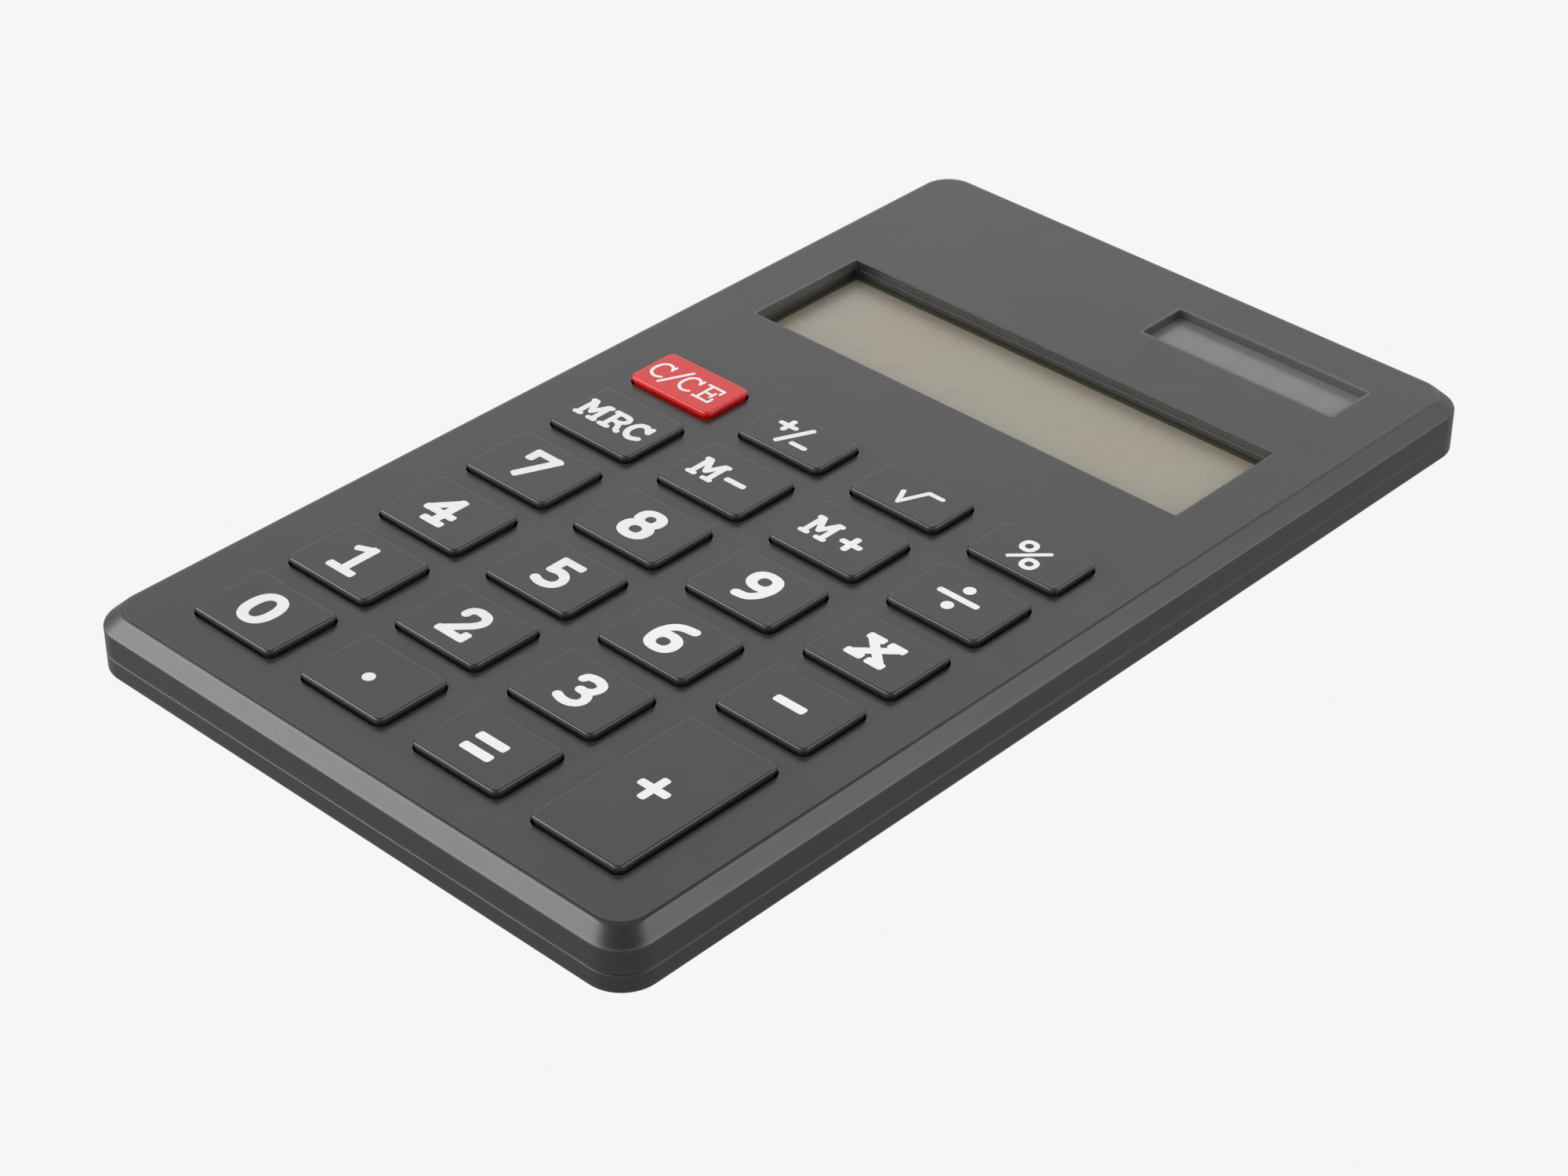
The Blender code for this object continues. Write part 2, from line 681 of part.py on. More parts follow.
def build_display(glass, lcd_material, frame_material, ribbon_material):
    ledge = (window_half[0] - FRAME_LEDGE, window_half[1] - FRAME_LEDGE)
    ring_object("lcd_frame", ledge, lcd_half, frame_bottom, frame_top, lcd_middle, frame_material)
    for name, low, high, material in (
        ("lcd_window", window_bottom, window_top, glass),
        ("lcd_glass", lcd_bottom, lcd_top, lcd_material),
    ):
        plate = bmesh.new()
        add_box(
            plate,
            (lcd_middle[0] - lcd_half[0], lcd_middle[1] - lcd_half[1], low),
            (lcd_middle[0] + lcd_half[0], lcd_middle[1] + lcd_half[1], high),
        )
        finish_object(name, plate, (*lcd_middle, low), parts, material)

    tray_rim = window_top - GAP / 2
    mesh = bmesh.new()
    add_box(
        mesh,
        (lcd_middle[0] - tray_outer[0], lcd_middle[1] - tray_outer[1], tray_bottom),
        (lcd_middle[0] + tray_outer[0], lcd_middle[1] + tray_outer[1], tray_rim),
    )
    tray = finish_object("lcd_tray", mesh, (*lcd_middle, tray_bottom), parts, frame_material)
    pocket = bmesh.new()
    add_box(
        pocket,
        (lcd_middle[0] - tray_inner[0], lcd_middle[1] - tray_inner[1], lcd_bottom - GAP),
        (lcd_middle[0] + tray_inner[0], lcd_middle[1] + tray_inner[1], tray_rim + CUT_PAST),
    )
    apply_tool(tray, "tray_pocket", pocket, "DIFFERENCE")
    notch = bmesh.new()
    notch_half = RIBBON_WIDTH / 2 + GAP
    add_box(
        notch,
        (lcd_middle[0] - notch_half, tray_front - CUT_PAST, lcd_bottom - GAP),
        (lcd_middle[0] + notch_half, tray_front + TRAY_WALL + GAP / 2, tray_rim + CUT_PAST),
    )
    apply_tool(tray, "ribbon_notch", notch, "DIFFERENCE")
    build_ribbon(ribbon_material)


def build_ribbon(material):
    """A thin strip from the board's rear edge to the front edge of the glass, with a soft step up."""
    start = board_high[1] - RIBBON_LAP
    end = lcd_middle[1] - lcd_half[1] - GAP
    low = board_top + GAP
    mesh = bmesh.new()
    edges = []
    for side in (-1, 1):
        row = []
        for step in range(RIBBON_STEPS + 1):
            share = step / RIBBON_STEPS
            rise = RIBBON_RISE * (1 - math.cos(math.pi * share)) / 2
            y = start + share * (end - start)
            row.append(mesh.verts.new((lcd_middle[0] + side * RIBBON_WIDTH / 2, y, low + rise)))
        edges.append(row)
    for step in range(RIBBON_STEPS):
        mesh.faces.new((edges[0][step], edges[1][step], edges[1][step + 1], edges[0][step + 1]))
    ribbon = finish_object("lcd_ribbon", mesh, (lcd_middle[0], start, low), parts, material)
    thicken = ribbon.modifiers.new("thickness", "SOLIDIFY")
    thicken.thickness = RIBBON_THICKNESS
    thicken.offset = 1.0


def build_solar_cell(material):
    mesh = bmesh.new()
    half = (SOLAR_WINDOW_WIDTH / 2 + SOLAR_LAP, SOLAR_WINDOW_LENGTH / 2 + SOLAR_LAP)
    add_box(
        mesh,
        (solar_middle[0] - half[0], solar_middle[1] - half[1], solar_bottom),
        (solar_middle[0] + half[0], solar_middle[1] + half[1], solar_top),
    )
    finish_object("solar_cell", mesh, (*solar_middle, solar_bottom), parts, material)


def build_wire(name, x, start_y, start_z, material):
    """A lead that drops from its contact, passes under the display tray and climbs on to the board."""
    under = (floor_top + tray_bottom) / 2
    on_board = board_top + GAP + WIRE_RADIUS
    run = start_y - lcd_middle[1] - tray_outer[1]
    turn_y = start_y - WIRE_TURN_SHARE * run
    drop_y = start_y - WIRE_DROP_SHARE * run
    stops = (
        (start_y, start_z),
        (turn_y, start_z),
        ((turn_y + drop_y) / 2, (start_z + under) / 2),
        (drop_y, under),
        (lcd_middle[1], under),
        (tray_front - WIRE_RADIUS, under),
        (board_high[1] + WIRE_RADIUS, on_board),
        (board_high[1] - WIRE_LAP, on_board),
    )
    curve = bpy.data.curves.new(name, "CURVE")
    curve.dimensions = "3D"
    curve.bevel_depth = WIRE_RADIUS
    curve.bevel_resolution = 1
    curve.use_fill_caps = True
    spline = curve.splines.new("POLY")
    spline.points.add(len(stops) - 1)
    for point, (y, z) in zip(spline.points, stops):
        point.co = (0.0, y - start_y, z - start_z, 1.0)
    curve.materials.append(material)
    wire = bpy.data.objects.new(name, curve)
    wire.location = (x, start_y, start_z)
    wire.parent = stand
    parts.objects.link(wire)


def build_battery(cell_material, metal, cover_material, screw_material):
    cell = bmesh.new()
    add_round(cell, cell_middle, CELL_RADIUS, cell_bottom, cell_top, ROUND_SEGMENTS)
    finish_object("battery_cell", cell, (*cell_middle, cell_bottom), parts, cell_material)

    box_front = battery_middle[1] - COVER_LENGTH / 2 - BATTERY_BOX_WALL
    strip = bmesh.new()
    half = CONTACT_WIDTH / 2
    add_box(
        strip,
        (cell_middle[0] - half, box_front, contact_bottom),
        (cell_middle[0] + half, cell_middle[1] + half, contact_bottom + CONTACT_THICKNESS),
    )
    origin = (cell_middle[0], box_front, contact_bottom)
    finish_object("battery_contact_minus", strip, origin, parts, metal)

    left = cell_middle[0] + pocket_radius + GAP
    contact_top = contact_bottom + CONTACT_THICKNESS
    upright = bmesh.new()
    add_box(
        upright,
        (left, cell_middle[1] - half, contact_slot_bottom + GAP),
        (left + CONTACT_THICKNESS, cell_middle[1] + half, contact_top),
    )
    origin = (left, cell_middle[1], contact_slot_bottom + GAP)
    contact = finish_object("battery_contact_plus", upright, origin, parts, metal)
    arm = bmesh.new()
    add_box(
        arm,
        (left + CONTACT_THICKNESS / 2, box_front, contact_bottom),
        (left + CONTACT_WIDTH, cell_middle[1] + half, contact_top),
    )
    apply_tool(contact, "contact_arm", arm, "UNION")

    cover = bmesh.new()
    section = (COVER_WIDTH / 2, COVER_LENGTH / 2, COVER_CORNER)
    add_loft(
        cover,
        ((*section, case_bottom), (*section, cover_top)),
        KEY_CORNER_SEGMENTS,
        battery_middle,
    )
    origin = (*battery_middle, case_bottom)
    lid = finish_object("battery_cover", cover, origin, parts, cover_material)
    bore = bmesh.new()
    add_round(
        bore,
        cover_screw_at,
        case_bore_radius,
        case_bottom - CUT_PAST,
        cover_top + CUT_PAST,
        SMALL_ROUND_SEGMENTS,
    )
    apply_tool(lid, "cover_bore", bore, "DIFFERENCE")
    head = bmesh.new()
    add_round(
        head,
        cover_screw_at,
        CASE_HEAD_RADIUS + SCREW_GAP,
        case_bottom - CUT_PAST,
        cover_screw_seat,
        ROUND_SEGMENTS,
    )
    apply_tool(lid, "cover_counterbore", head, "DIFFERENCE")
    build_screw(
        "battery_cover_screw",
        cover_screw_at,
        cover_screw_seat - SCREW_GAP,
        (CASE_HEAD_RADIUS, COVER_HEAD_HEIGHT),
        (CASE_SCREW_RADIUS, cover_screw_end - cover_screw_seat + SCREW_GAP),
        screw_material,
    )


def build_screw(name, middle, seat, head, shank, material):
    """A turned profile: a pan head below the seat and a pointed shank above it."""
    head_radius, head_height = head
    shank_radius, shank_length = shank
    point = shank_radius * SCREW_POINT_SHARE
    profile = (
        (0.0, shank_length),
        (point, shank_length),
        (shank_radius, shank_length - shank_radius),
        (shank_radius, 0.0),
        (head_radius, 0.0),
        (head_radius, -head_height * HEAD_SIDE_SHARE),
        (head_radius * HEAD_FACE_SHARE, -head_height),
        (0.0, -head_height),
    )
    mesh = bmesh.new()
    corners = [mesh.verts.new((x, 0.0, z)) for x, z in profile]
    for upper, lower in zip(corners, corners[1:]):
        mesh.edges.new((upper, lower))
    data = bpy.data.meshes.new(name)
    mesh.to_mesh(data)
    mesh.free()
    data.materials.append(material)
    screw = bpy.data.objects.new(name, data)
    screw.location = (*middle, seat)
    screw.parent = stand
    parts.objects.link(screw)
    turn = screw.modifiers.new("turned", "SCREW")
    turn.steps = SMALL_ROUND_SEGMENTS
    turn.render_steps = SMALL_ROUND_SEGMENTS
    turn.use_merge_vertices = True
    turn.merge_threshold = 1e-6


def build_foot(name, middle, material):
    mesh = bmesh.new()
    top = case_bottom + FOOT_SEAT
    add_round(mesh, middle, FOOT_RADIUS, 0.0, top, ROUND_SEGMENTS)
    finish_object(f"foot_{name}", mesh, (*middle, 0.0), parts, material)



clear_scene()
parts = new_collection("desk_calculator")
cutters = new_collection("cutters")
cutters.hide_render = True
stand = bpy.data.objects.new("calculator_origin", None)
parts.objects.link(stand)

case_plastic = plastic("case plastic", (0.09, 0.09, 0.088), 0.55)
key_plastic = plastic("key plastic", (0.075, 0.075, 0.073), 0.5)
red_plastic = plastic("red key plastic", (0.75, 0.06, 0.07), 0.45)
clear_plastic = plastic("clear window", (0.9, 0.92, 0.9), 0.05, alpha=0.35, transmission=0.8)
lcd_surface = plastic("display glass", (0.36, 0.35, 0.29), 0.2)
black_plastic = plastic("black plastic", (0.015, 0.015, 0.014), 0.6)
solar_surface = plastic("solar cell", (0.2, 0.19, 0.19), 0.2)
silicone = plastic("silicone rubber", (0.5, 0.5, 0.48), 0.7)
circuit_board = plastic("circuit board", (0.02, 0.16, 0.06), 0.5)
epoxy = plastic("black epoxy", (0.01, 0.01, 0.01), 0.3)
capacitor_case = plastic("capacitor case", (0.55, 0.3, 0.05), 0.4)
nickel = plastic("nickel plate", (0.7, 0.69, 0.66), 0.3, metallic=1.0)
steel = plastic("zinc plated steel", (0.6, 0.61, 0.62), 0.35, metallic=1.0)
film = plastic("ribbon film", (0.45, 0.28, 0.1), 0.35)
red_wire = plastic("red insulation", (0.5, 0.02, 0.02), 0.5)
black_wire = plastic("black insulation", (0.01, 0.01, 0.01), 0.5)
foot_rubber = plastic("black rubber", (0.02, 0.02, 0.02), 0.8)

build_front_shell(case_plastic)
build_back_shell(case_plastic)
for key_name, key_middle, key_length in key_places():
    key_material = red_plastic if key_name == "clear" else key_plastic
    build_key(key_name, key_middle, key_length, key_material)
build_keypad_mat(silicone)
build_board(circuit_board, epoxy, capacitor_case, steel)
build_display(clear_plastic, lcd_surface, black_plastic, film)
build_solar_cell(solar_surface)
build_battery(nickel, nickel, case_plastic, steel)

solar_lead_x = RIBBON_WIDTH / 2 + WIRE_SPACING
solar_lead_z = solar_bottom - GAP - WIRE_RADIUS
battery_lead_y = battery_middle[1] - COVER_LENGTH / 2 - BATTERY_BOX_WALL - GAP
battery_lead_z = contact_bottom
for lead, direction, start_y, start_z in (
    ("solar", 1, solar_middle[1], solar_lead_z),
    ("battery", -1, battery_lead_y, battery_lead_z),
):
    build_wire(f"{lead}_wire_plus", direction * solar_lead_x, start_y, start_z, red_wire)
    further = direction * (solar_lead_x + WIRE_SPACING)
    build_wire(f"{lead}_wire_minus", further, start_y, start_z, black_wire)

for screw_name, screw_middle in case_screw_places():
    build_screw(
        f"case_screw_{screw_name}",
        screw_middle,
        case_screw_seat - SCREW_GAP,
        (CASE_HEAD_RADIUS, CASE_HEAD_HEIGHT),
        (CASE_SCREW_RADIUS, CASE_SCREW_LENGTH),
        steel,
    )
for screw_name, screw_middle in board_post_places():
    build_screw(
        f"board_screw_{screw_name}",
        screw_middle,
        board_bottom - GAP,
        (BOARD_HEAD_RADIUS, BOARD_HEAD_HEIGHT),
        (BOARD_SCREW_RADIUS, BOARD_SCREW_LENGTH),
        steel,
    )
for foot_name, foot_middle in foot_places():
    build_foot(foot_name, foot_middle, foot_rubber)
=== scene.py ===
import math
import bmesh
import bpy
from mathutils import Matrix, Vector
from mathutils.geometry import delaunay_2d_cdt


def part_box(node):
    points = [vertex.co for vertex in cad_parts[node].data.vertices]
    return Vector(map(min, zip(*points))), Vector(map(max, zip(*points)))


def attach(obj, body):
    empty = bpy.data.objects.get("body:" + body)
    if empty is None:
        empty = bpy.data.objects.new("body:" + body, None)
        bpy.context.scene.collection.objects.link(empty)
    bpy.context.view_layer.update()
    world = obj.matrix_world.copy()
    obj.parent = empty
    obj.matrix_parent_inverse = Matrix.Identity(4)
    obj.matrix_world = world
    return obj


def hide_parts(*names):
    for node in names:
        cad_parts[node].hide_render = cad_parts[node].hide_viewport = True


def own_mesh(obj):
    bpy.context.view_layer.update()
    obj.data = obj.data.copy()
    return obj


mm = 0.001  # shapes below are in millimetres and are scaled once, when a piece is made
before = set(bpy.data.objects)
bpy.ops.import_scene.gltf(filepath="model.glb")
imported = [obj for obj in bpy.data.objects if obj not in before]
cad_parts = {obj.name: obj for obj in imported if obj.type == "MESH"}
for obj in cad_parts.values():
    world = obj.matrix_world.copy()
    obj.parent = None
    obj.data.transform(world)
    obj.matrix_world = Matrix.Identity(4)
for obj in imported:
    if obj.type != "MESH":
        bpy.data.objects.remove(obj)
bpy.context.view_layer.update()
print("frame loaded:", len(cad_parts), "nodes")


def linearColour(hexCode, alpha=1.0):
    channels = [int(hexCode[i:i + 2], 16) / 255 for i in (1, 3, 5)]
    return [c / 12.92 if c <= 0.04045 else ((c + 0.055) / 1.055) ** 2.4 for c in channels] + [alpha]


def scaledColour(hexCode, share):
    return [c * share for c in linearColour(hexCode)[:3]] + [1]


def addNode(tree, kind, settings=None, links=None):
    node = tree.nodes.new("ShaderNode" + kind)
    for key, value in (settings or {}).items():
        if isinstance(key, str) and hasattr(node, key):
            setattr(node, key, value)
        else:
            node.inputs[key].default_value = value
    for key, source in (links or {}).items():  # a node as the source stands for its first output
        isNode = isinstance(source, bpy.types.Node)
        tree.links.new(source.outputs[0] if isNode else source, node.inputs[key])
    return node


# A material from its recipe, a function that adds the nodes and gives back the finished shader.
def newMaterial(name, recipe, *values):
    material = bpy.data.materials.new(name)
    material.use_nodes = True
    tree = material.node_tree
    tree.nodes.clear()
    place = addNode(tree, "TexCoord").outputs["Object"]
    shader = recipe(tree, place, *values)
    addNode(tree, "OutputMaterial", {}, {"Surface": shader})
    return material


def setRamp(node, stops):
    ramp = node.color_ramp
    while len(ramp.elements) > 1:
        ramp.elements.remove(ramp.elements[-1])
    ramp.elements[0].position, ramp.elements[0].color = stops[0]
    for position, colour in stops[1:]:
        ramp.elements.new(position).color = colour


mouldedLook = {
    "tone": 0.06,  # how far the colour drifts over the piece
    "toneSize": 26.0,  # mm
    "rubSize": 7.0,  # mm, patches that handling has smoothed
    "rub": 0.02,  # how much smoother or rougher they are
}


# A plastic or rubber that came out of a mould: a base colour that drifts a little, a fine pitted skin
# and edges that handling has polished.
def mouldedPlastic(tree, place, colour, edgeColour, roughness, grain, grainHeight, ior=1.53):
    drift = addNode(tree, "TexNoise", {
        "Scale": 1 / (mouldedLook["toneSize"] * mm), "Detail": 3.0}, {"Vector": place})
    base = addNode(tree, "ValToRGB", {}, {"Fac": drift})
    setRamp(base, [(0.3, scaledColour(colour, 1 - mouldedLook["tone"])),
                   (0.7, scaledColour(colour, 1 + mouldedLook["tone"]))])
    edge = addNode(tree, "Attribute", {"attribute_name": "rubbedEdge"})
    rubbed = addNode(tree, "TexNoise", {
        "Scale": 1 / (mouldedLook["rubSize"] * mm), "Detail": 4.0}, {"Vector": place})
    edgeMask = addNode(tree, "Math", {"operation": "MULTIPLY"}, {
        0: edge.outputs["Fac"], 1: rubbed})
    tinted = addNode(tree, "Mix", {
        "data_type": "RGBA", 7: linearColour(edgeColour)},
        {0: edgeMask, 6: base})
    patches = addNode(tree, "MapRange", {
        "From Min": 0.3, "From Max": 0.7, "To Min": roughness - mouldedLook["rub"],
        "To Max": roughness + mouldedLook["rub"]}, {"Value": rubbed})
    gloss = addNode(tree, "Math", {"operation": "MULTIPLY_ADD", 1: -0.12}, {
        0: edgeMask, 2: patches})
    pits = addNode(tree, "TexNoise", {
        "Scale": 1 / (grain * mm), "Detail": 2.0, "Roughness": 0.6}, {"Vector": place})
    bump = addNode(tree, "Bump", {"Strength": 0.6, "Distance": grainHeight * mm}, {
        "Height": pits})
    skin = addNode(tree, "BsdfPrincipled", {"IOR": ior}, {
        "Base Color": tinted.outputs[2], "Roughness": gloss,
        "Normal": bump})
    return skin


# ABS moulded against a spark-eroded steel face: dull charcoal whose grain blurs what it reflects.
# Real spark grain is about 0.06 mm, drawn at 0.22 mm so that it shows.
casePlastic = newMaterial(
    "charcoal spark-eroded ABS", mouldedPlastic, "#2b2b2b", "#3a3a3a", 0.28, 0.22, 0.0012)
# The same ABS painted paler for the solar window's walls and the display well's left wall: a lit copy
# that stands in for the light falling on them. Its face is also smoother, with almost no grain.
paintedLightWallPlastic = newMaterial(
    "charcoal ABS painted lighter where lit", mouldedPlastic, "#464545", "#4c4b4b", 0.3, 0.5, 0.0002)
# The same ABS on a finer mould face: the keys look a touch darker and cleaner than the case.
keyPlastic = newMaterial(
    "charcoal satin ABS", mouldedPlastic, "#242425", "#333334", 0.23, 0.16, 0.0008)
# Red ABS, coloured through: bright and a little warmer where light grazes it.
redKeyPlastic = newMaterial("red satin ABS", mouldedPlastic, "#ca1013", "#d01f22", 0.24, 0.16, 0.0008)
# Pad-printed two-part ink: a flat white film that shows no plastic through it.
legendInk = newMaterial(
    "white pad-printed ink", mouldedPlastic, "#e4e4e4", "#e9e9e9", 0.5, 0.12, 0.0006)
# Black ABS with a matt face, which hides the inside of the display well.
framePlastic = newMaterial("black matt ABS", mouldedPlastic, "#191816", "#2a2927", 0.45, 0.2, 0.001)
# Moulded rubber with a dry, even bloom.
footRubber = newMaterial(
    "black moulded rubber", mouldedPlastic, "#1c1c1c", "#242424", 0.78, 0.3, 0.004, 1.52)
# Silicone rubber: soft grey with no shine.
siliconeRubber = newMaterial(
    "grey silicone rubber", mouldedPlastic, "#b9b9b4", "#c4c4c0", 0.6, 0.35, 0.003, 1.41)
# Drawn PVC insulation, smooth and slightly waxy.
redWire = newMaterial(
    "red PVC insulation", mouldedPlastic, "#a01a1c", "#b52a2c", 0.35, 0.5, 0.002, 1.54)
blackWire = newMaterial(
    "black PVC insulation", mouldedPlastic, "#161616", "#202020", 0.35, 0.5, 0.002, 1.54)
# A blob of epoxy poured over the die: black, with the wet look of a resin that set on its own.
chipEpoxy = newMaterial(
    "black poured epoxy", mouldedPlastic, "#0d0d0d", "#141414", 0.14, 1.2, 0.02, 1.55)
# Dipped resin: amber, shiny and slightly uneven where it ran before it set.
capacitorResin = newMaterial(
    "amber dipped resin", mouldedPlastic, "#b97a2c", "#c88b3e", 0.3, 0.8, 0.01, 1.55)
print("moulded materials ready")


# Plate metals: rolled or plated, so the reflection is drawn out along one direction.
def platedMetal(tree, place, colour, roughness, scratch, stretch):
    drawn = addNode(tree, "Mapping", {"Scale": stretch}, {"Vector": place})
    lines = addNode(tree, "TexNoise", {"Scale": 1 / (scratch * mm), "Detail": 3.0}, {
        "Vector": drawn})
    cloud = addNode(tree, "TexNoise", {"Scale": 1 / (3.0 * mm), "Detail": 3.0}, {
        "Vector": place})
    base = addNode(tree, "ValToRGB", {}, {"Fac": cloud})
    setRamp(base, [(0.35, scaledColour(colour, 0.88)), (0.65, linearColour(colour))])
    gloss = addNode(tree, "MapRange", {
        "From Min": 0.3, "From Max": 0.7, "To Min": roughness - 0.08, "To Max": roughness + 0.08},
        {"Value": lines})
    bump = addNode(tree, "Bump", {"Strength": 0.3, "Distance": 0.002 * mm}, {
        "Height": lines})
    skin = addNode(tree, "BsdfPrincipled", {"Metallic": 1.0}, {
        "Base Color": base, "Roughness": gloss,
        "Normal": bump})
    return skin


# Bright zinc over steel: pale, slightly blue, with turning marks.
zincSteel = newMaterial(
    "zinc-plated turned steel", platedMetal, "#c9ccd0", 0.32, 0.25, (1.0, 1.0, 0.15))
# Nickel over spring steel: warmer than zinc and smoother.
nickelPlate = newMaterial(
    "nickel-plated rolled steel", platedMetal, "#d3cfc6", 0.22, 0.2, (1.0, 0.1, 1.0))

boardLook = {"trackPitch": 1.6, "copper": "#2f6b3c", "mask": "#17472a"}


# FR4 glass laminate under green solder mask: tracks show as lighter green bands under the lacquer.
def solderMask(tree, place):
    tracks = addNode(tree, "TexBrick", {
        "Scale": 1 / (boardLook["trackPitch"] * mm), "Mortar Size": 0.28, "Mortar Smooth": 0.1,
        "Brick Width": 3.2, "Row Height": 1.0, "Color1": linearColour(boardLook["mask"]),
        "Color2": linearColour(boardLook["mask"]), "Mortar": linearColour(boardLook["copper"])},
        {"Vector": place})
    bump = addNode(tree, "Bump", {"Strength": 0.5, "Distance": 0.03 * mm}, {
        "Height": tracks.outputs["Fac"]})
    skin = addNode(tree, "BsdfPrincipled", {"IOR": 1.55, "Roughness": 0.28}, {
        "Base Color": tracks.outputs["Color"], "Normal": bump})
    return skin


ribbonLook = {"film": "#a5672a", "track": "#c98a45", "pitch": 1.0}


# Polyimide film over copper: amber, with the tracks as lighter lines along it.
def ribbonFilm(tree, place):
    lines = addNode(tree, "TexWave", {
        "bands_direction": "X", "Scale": 0.314 / (ribbonLook["pitch"] * mm)}, {"Vector": place})
    base = addNode(tree, "ValToRGB", {}, {"Fac": lines.outputs["Fac"]})
    setRamp(base, [(0.4, linearColour(ribbonLook["film"])), (0.6, linearColour(ribbonLook["track"]))])
    bump = addNode(tree, "Bump", {"Strength": 0.4, "Distance": 0.02 * mm}, {
        "Height": lines.outputs["Fac"]})
    skin = addNode(tree, "BsdfPrincipled", {"IOR": 1.7, "Roughness": 0.3}, {
        "Base Color": base, "Normal": bump})
    return skin


boardMask = newMaterial("green solder mask over FR4", solderMask)
ribbonAmber = newMaterial("amber polyimide film", ribbonFilm)


shape = {
    "cornerSteps": 12,  # on the case's corners
    "filletSteps": 5,
    "keySteps": 7,
    "support": 0.3,  # mm of flat face kept beside each rounded edge
}


def roundedLoop(halfX, halfY, radius, steps, middle=(0.0, 0.0)):
    points = []
    for corner, (sideX, sideY) in enumerate(((1, 1), (-1, 1), (-1, -1), (1, -1))):
        for step in range(steps + 1):
            angle = math.radians(90 * (corner + step / steps))
            points.append((middle[0] + sideX * (halfX - radius) + radius * math.cos(angle),
                           middle[1] + sideY * (halfY - radius) + radius * math.sin(angle)))
    return points


def circleLoop(radius, steps, middle=(0.0, 0.0)):
    return [(middle[0] + radius * math.cos(2 * math.pi * i / steps),
             middle[1] + radius * math.sin(2 * math.pi * i / steps)) for i in range(steps)]


# Rounds the corners of a profile given as (across, height, radius) and keeps a narrow flat on both
# sides of each. The third value that comes back is 1 on a rounded edge and 0 elsewhere.
def roundedProfile(corners, steps=None):
    steps = steps or shape["filletSteps"]
    profile = []
    for i, (across, height, radius) in enumerate(corners):
        here = Vector((across, height))
        if i in (0, len(corners) - 1) or radius <= 0:
            profile.append((across, height, 0.0))
            continue
        before, after = Vector(corners[i - 1][:2]) - here, Vector(corners[i + 1][:2]) - here
        first, second = before.normalized(), after.normalized()
        turn = first.angle(second)
        reach = radius / math.tan(turn / 2)
        centre = here + (first + second).normalized() * radius / math.sin(turn / 2)
        start, end = here + first * reach - centre, here + second * reach - centre
        sweep = math.pi - turn
        if before.length > reach + 2 * shape["support"]:
            flat = here + first * (reach + shape["support"])
            profile.append((flat.x, flat.y, 0.0))
        for step in range(steps + 1):
            share = step / steps
            point = centre + (math.sin((1 - share) * sweep) * start
                              + math.sin(share * sweep) * end) / math.sin(sweep)
            profile.append((point.x, point.y, 1.0))
        if after.length > reach + 2 * shape["support"]:
            flat = here + second * (reach + shape["support"])
            profile.append((flat.x, flat.y, 0.0))
    return profile


def addRing(bm, points, height, rubbed=0.0):
    layer = bm.verts.layers.float.get("rubbedEdge") or bm.verts.layers.float.new("rubbedEdge")
    ring = [bm.verts.new((x, y, height)) for x, y in points]
    for vert in ring:
        vert[layer] = rubbed
    return ring


def joinRings(bm, rings):
    for lower, upper in zip(rings, rings[1:]):
        for i in range(len(lower)):
            j = (i + 1) % len(lower)
            bm.faces.new((lower[i], lower[j], upper[j], upper[i]))


# Rings stacked from loopAt(across) at each point of a profile, joined into one skin.
def loftProfile(bm, profile, loopAt):
    rings = [addRing(bm, loopAt(across), height, rubbed) for across, height, rubbed in profile]
    joinRings(bm, rings)
    return rings[0], rings[-1]


# A skin like that with its first and last rings closed flat.
def addSolid(bm, profile, loopAt):
    for ring in loftProfile(bm, profile, loopAt):
        bm.faces.new(ring)


# A blind hollow or a pin: its far end is closed, and its mouth comes back as a hole for fillFlat.
def addHollow(bm, profile, loopAt):
    mouth, end = loftProfile(bm, profile, loopAt)
    bm.faces.new(end)
    return mouth


# Fills a flat face between an outer ring and the rings of its holes.
def fillFlat(bm, outer, holes):
    rings = [outer] + holes
    verts = [vert for ring in rings for vert in ring]
    owner, edges, start = [], [], 0
    for number, ring in enumerate(rings):
        owner += [number] * len(ring)
        edges += [(start + i, start + (i + 1) % len(ring)) for i in range(len(ring))]
        start += len(ring)
    flat = [Vector((vert.co.x, vert.co.y)) for vert in verts]
    points, _, faces, origin, _, _ = delaunay_2d_cdt(flat, edges, [], 1, 1e-6)
    back = [source[0] for source in origin]
    for face in faces:
        owners = {owner[back[i]] for i in face}
        if len(owners) == 1 and owners != {0}:
            continue  # this triangle lies inside a hole
        bm.faces.new([verts[back[i]] for i in face])


# Turns the finished skin into a piece that rides on its body and stands for its CAD nodes.
def makePiece(name, bm, materials, body, nodes, sharp=34):
    bmesh.ops.recalc_face_normals(bm, faces=bm.faces)
    if bm.calc_volume(signed=True) < 0:
        bmesh.ops.reverse_faces(bm, faces=bm.faces)
    bmesh.ops.scale(bm, vec=(mm, mm, mm), verts=bm.verts)
    data = bpy.data.meshes.new(name)
    bm.to_mesh(data)
    bm.free()
    data.shade_smooth()
    data.set_sharp_from_angle(angle=math.radians(sharp))
    for material in materials:
        data.materials.append(material)
    piece = bpy.data.objects.new(name, data)
    bpy.context.scene.collection.objects.link(piece)
    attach(piece, body)
    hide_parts(*nodes)
    return piece


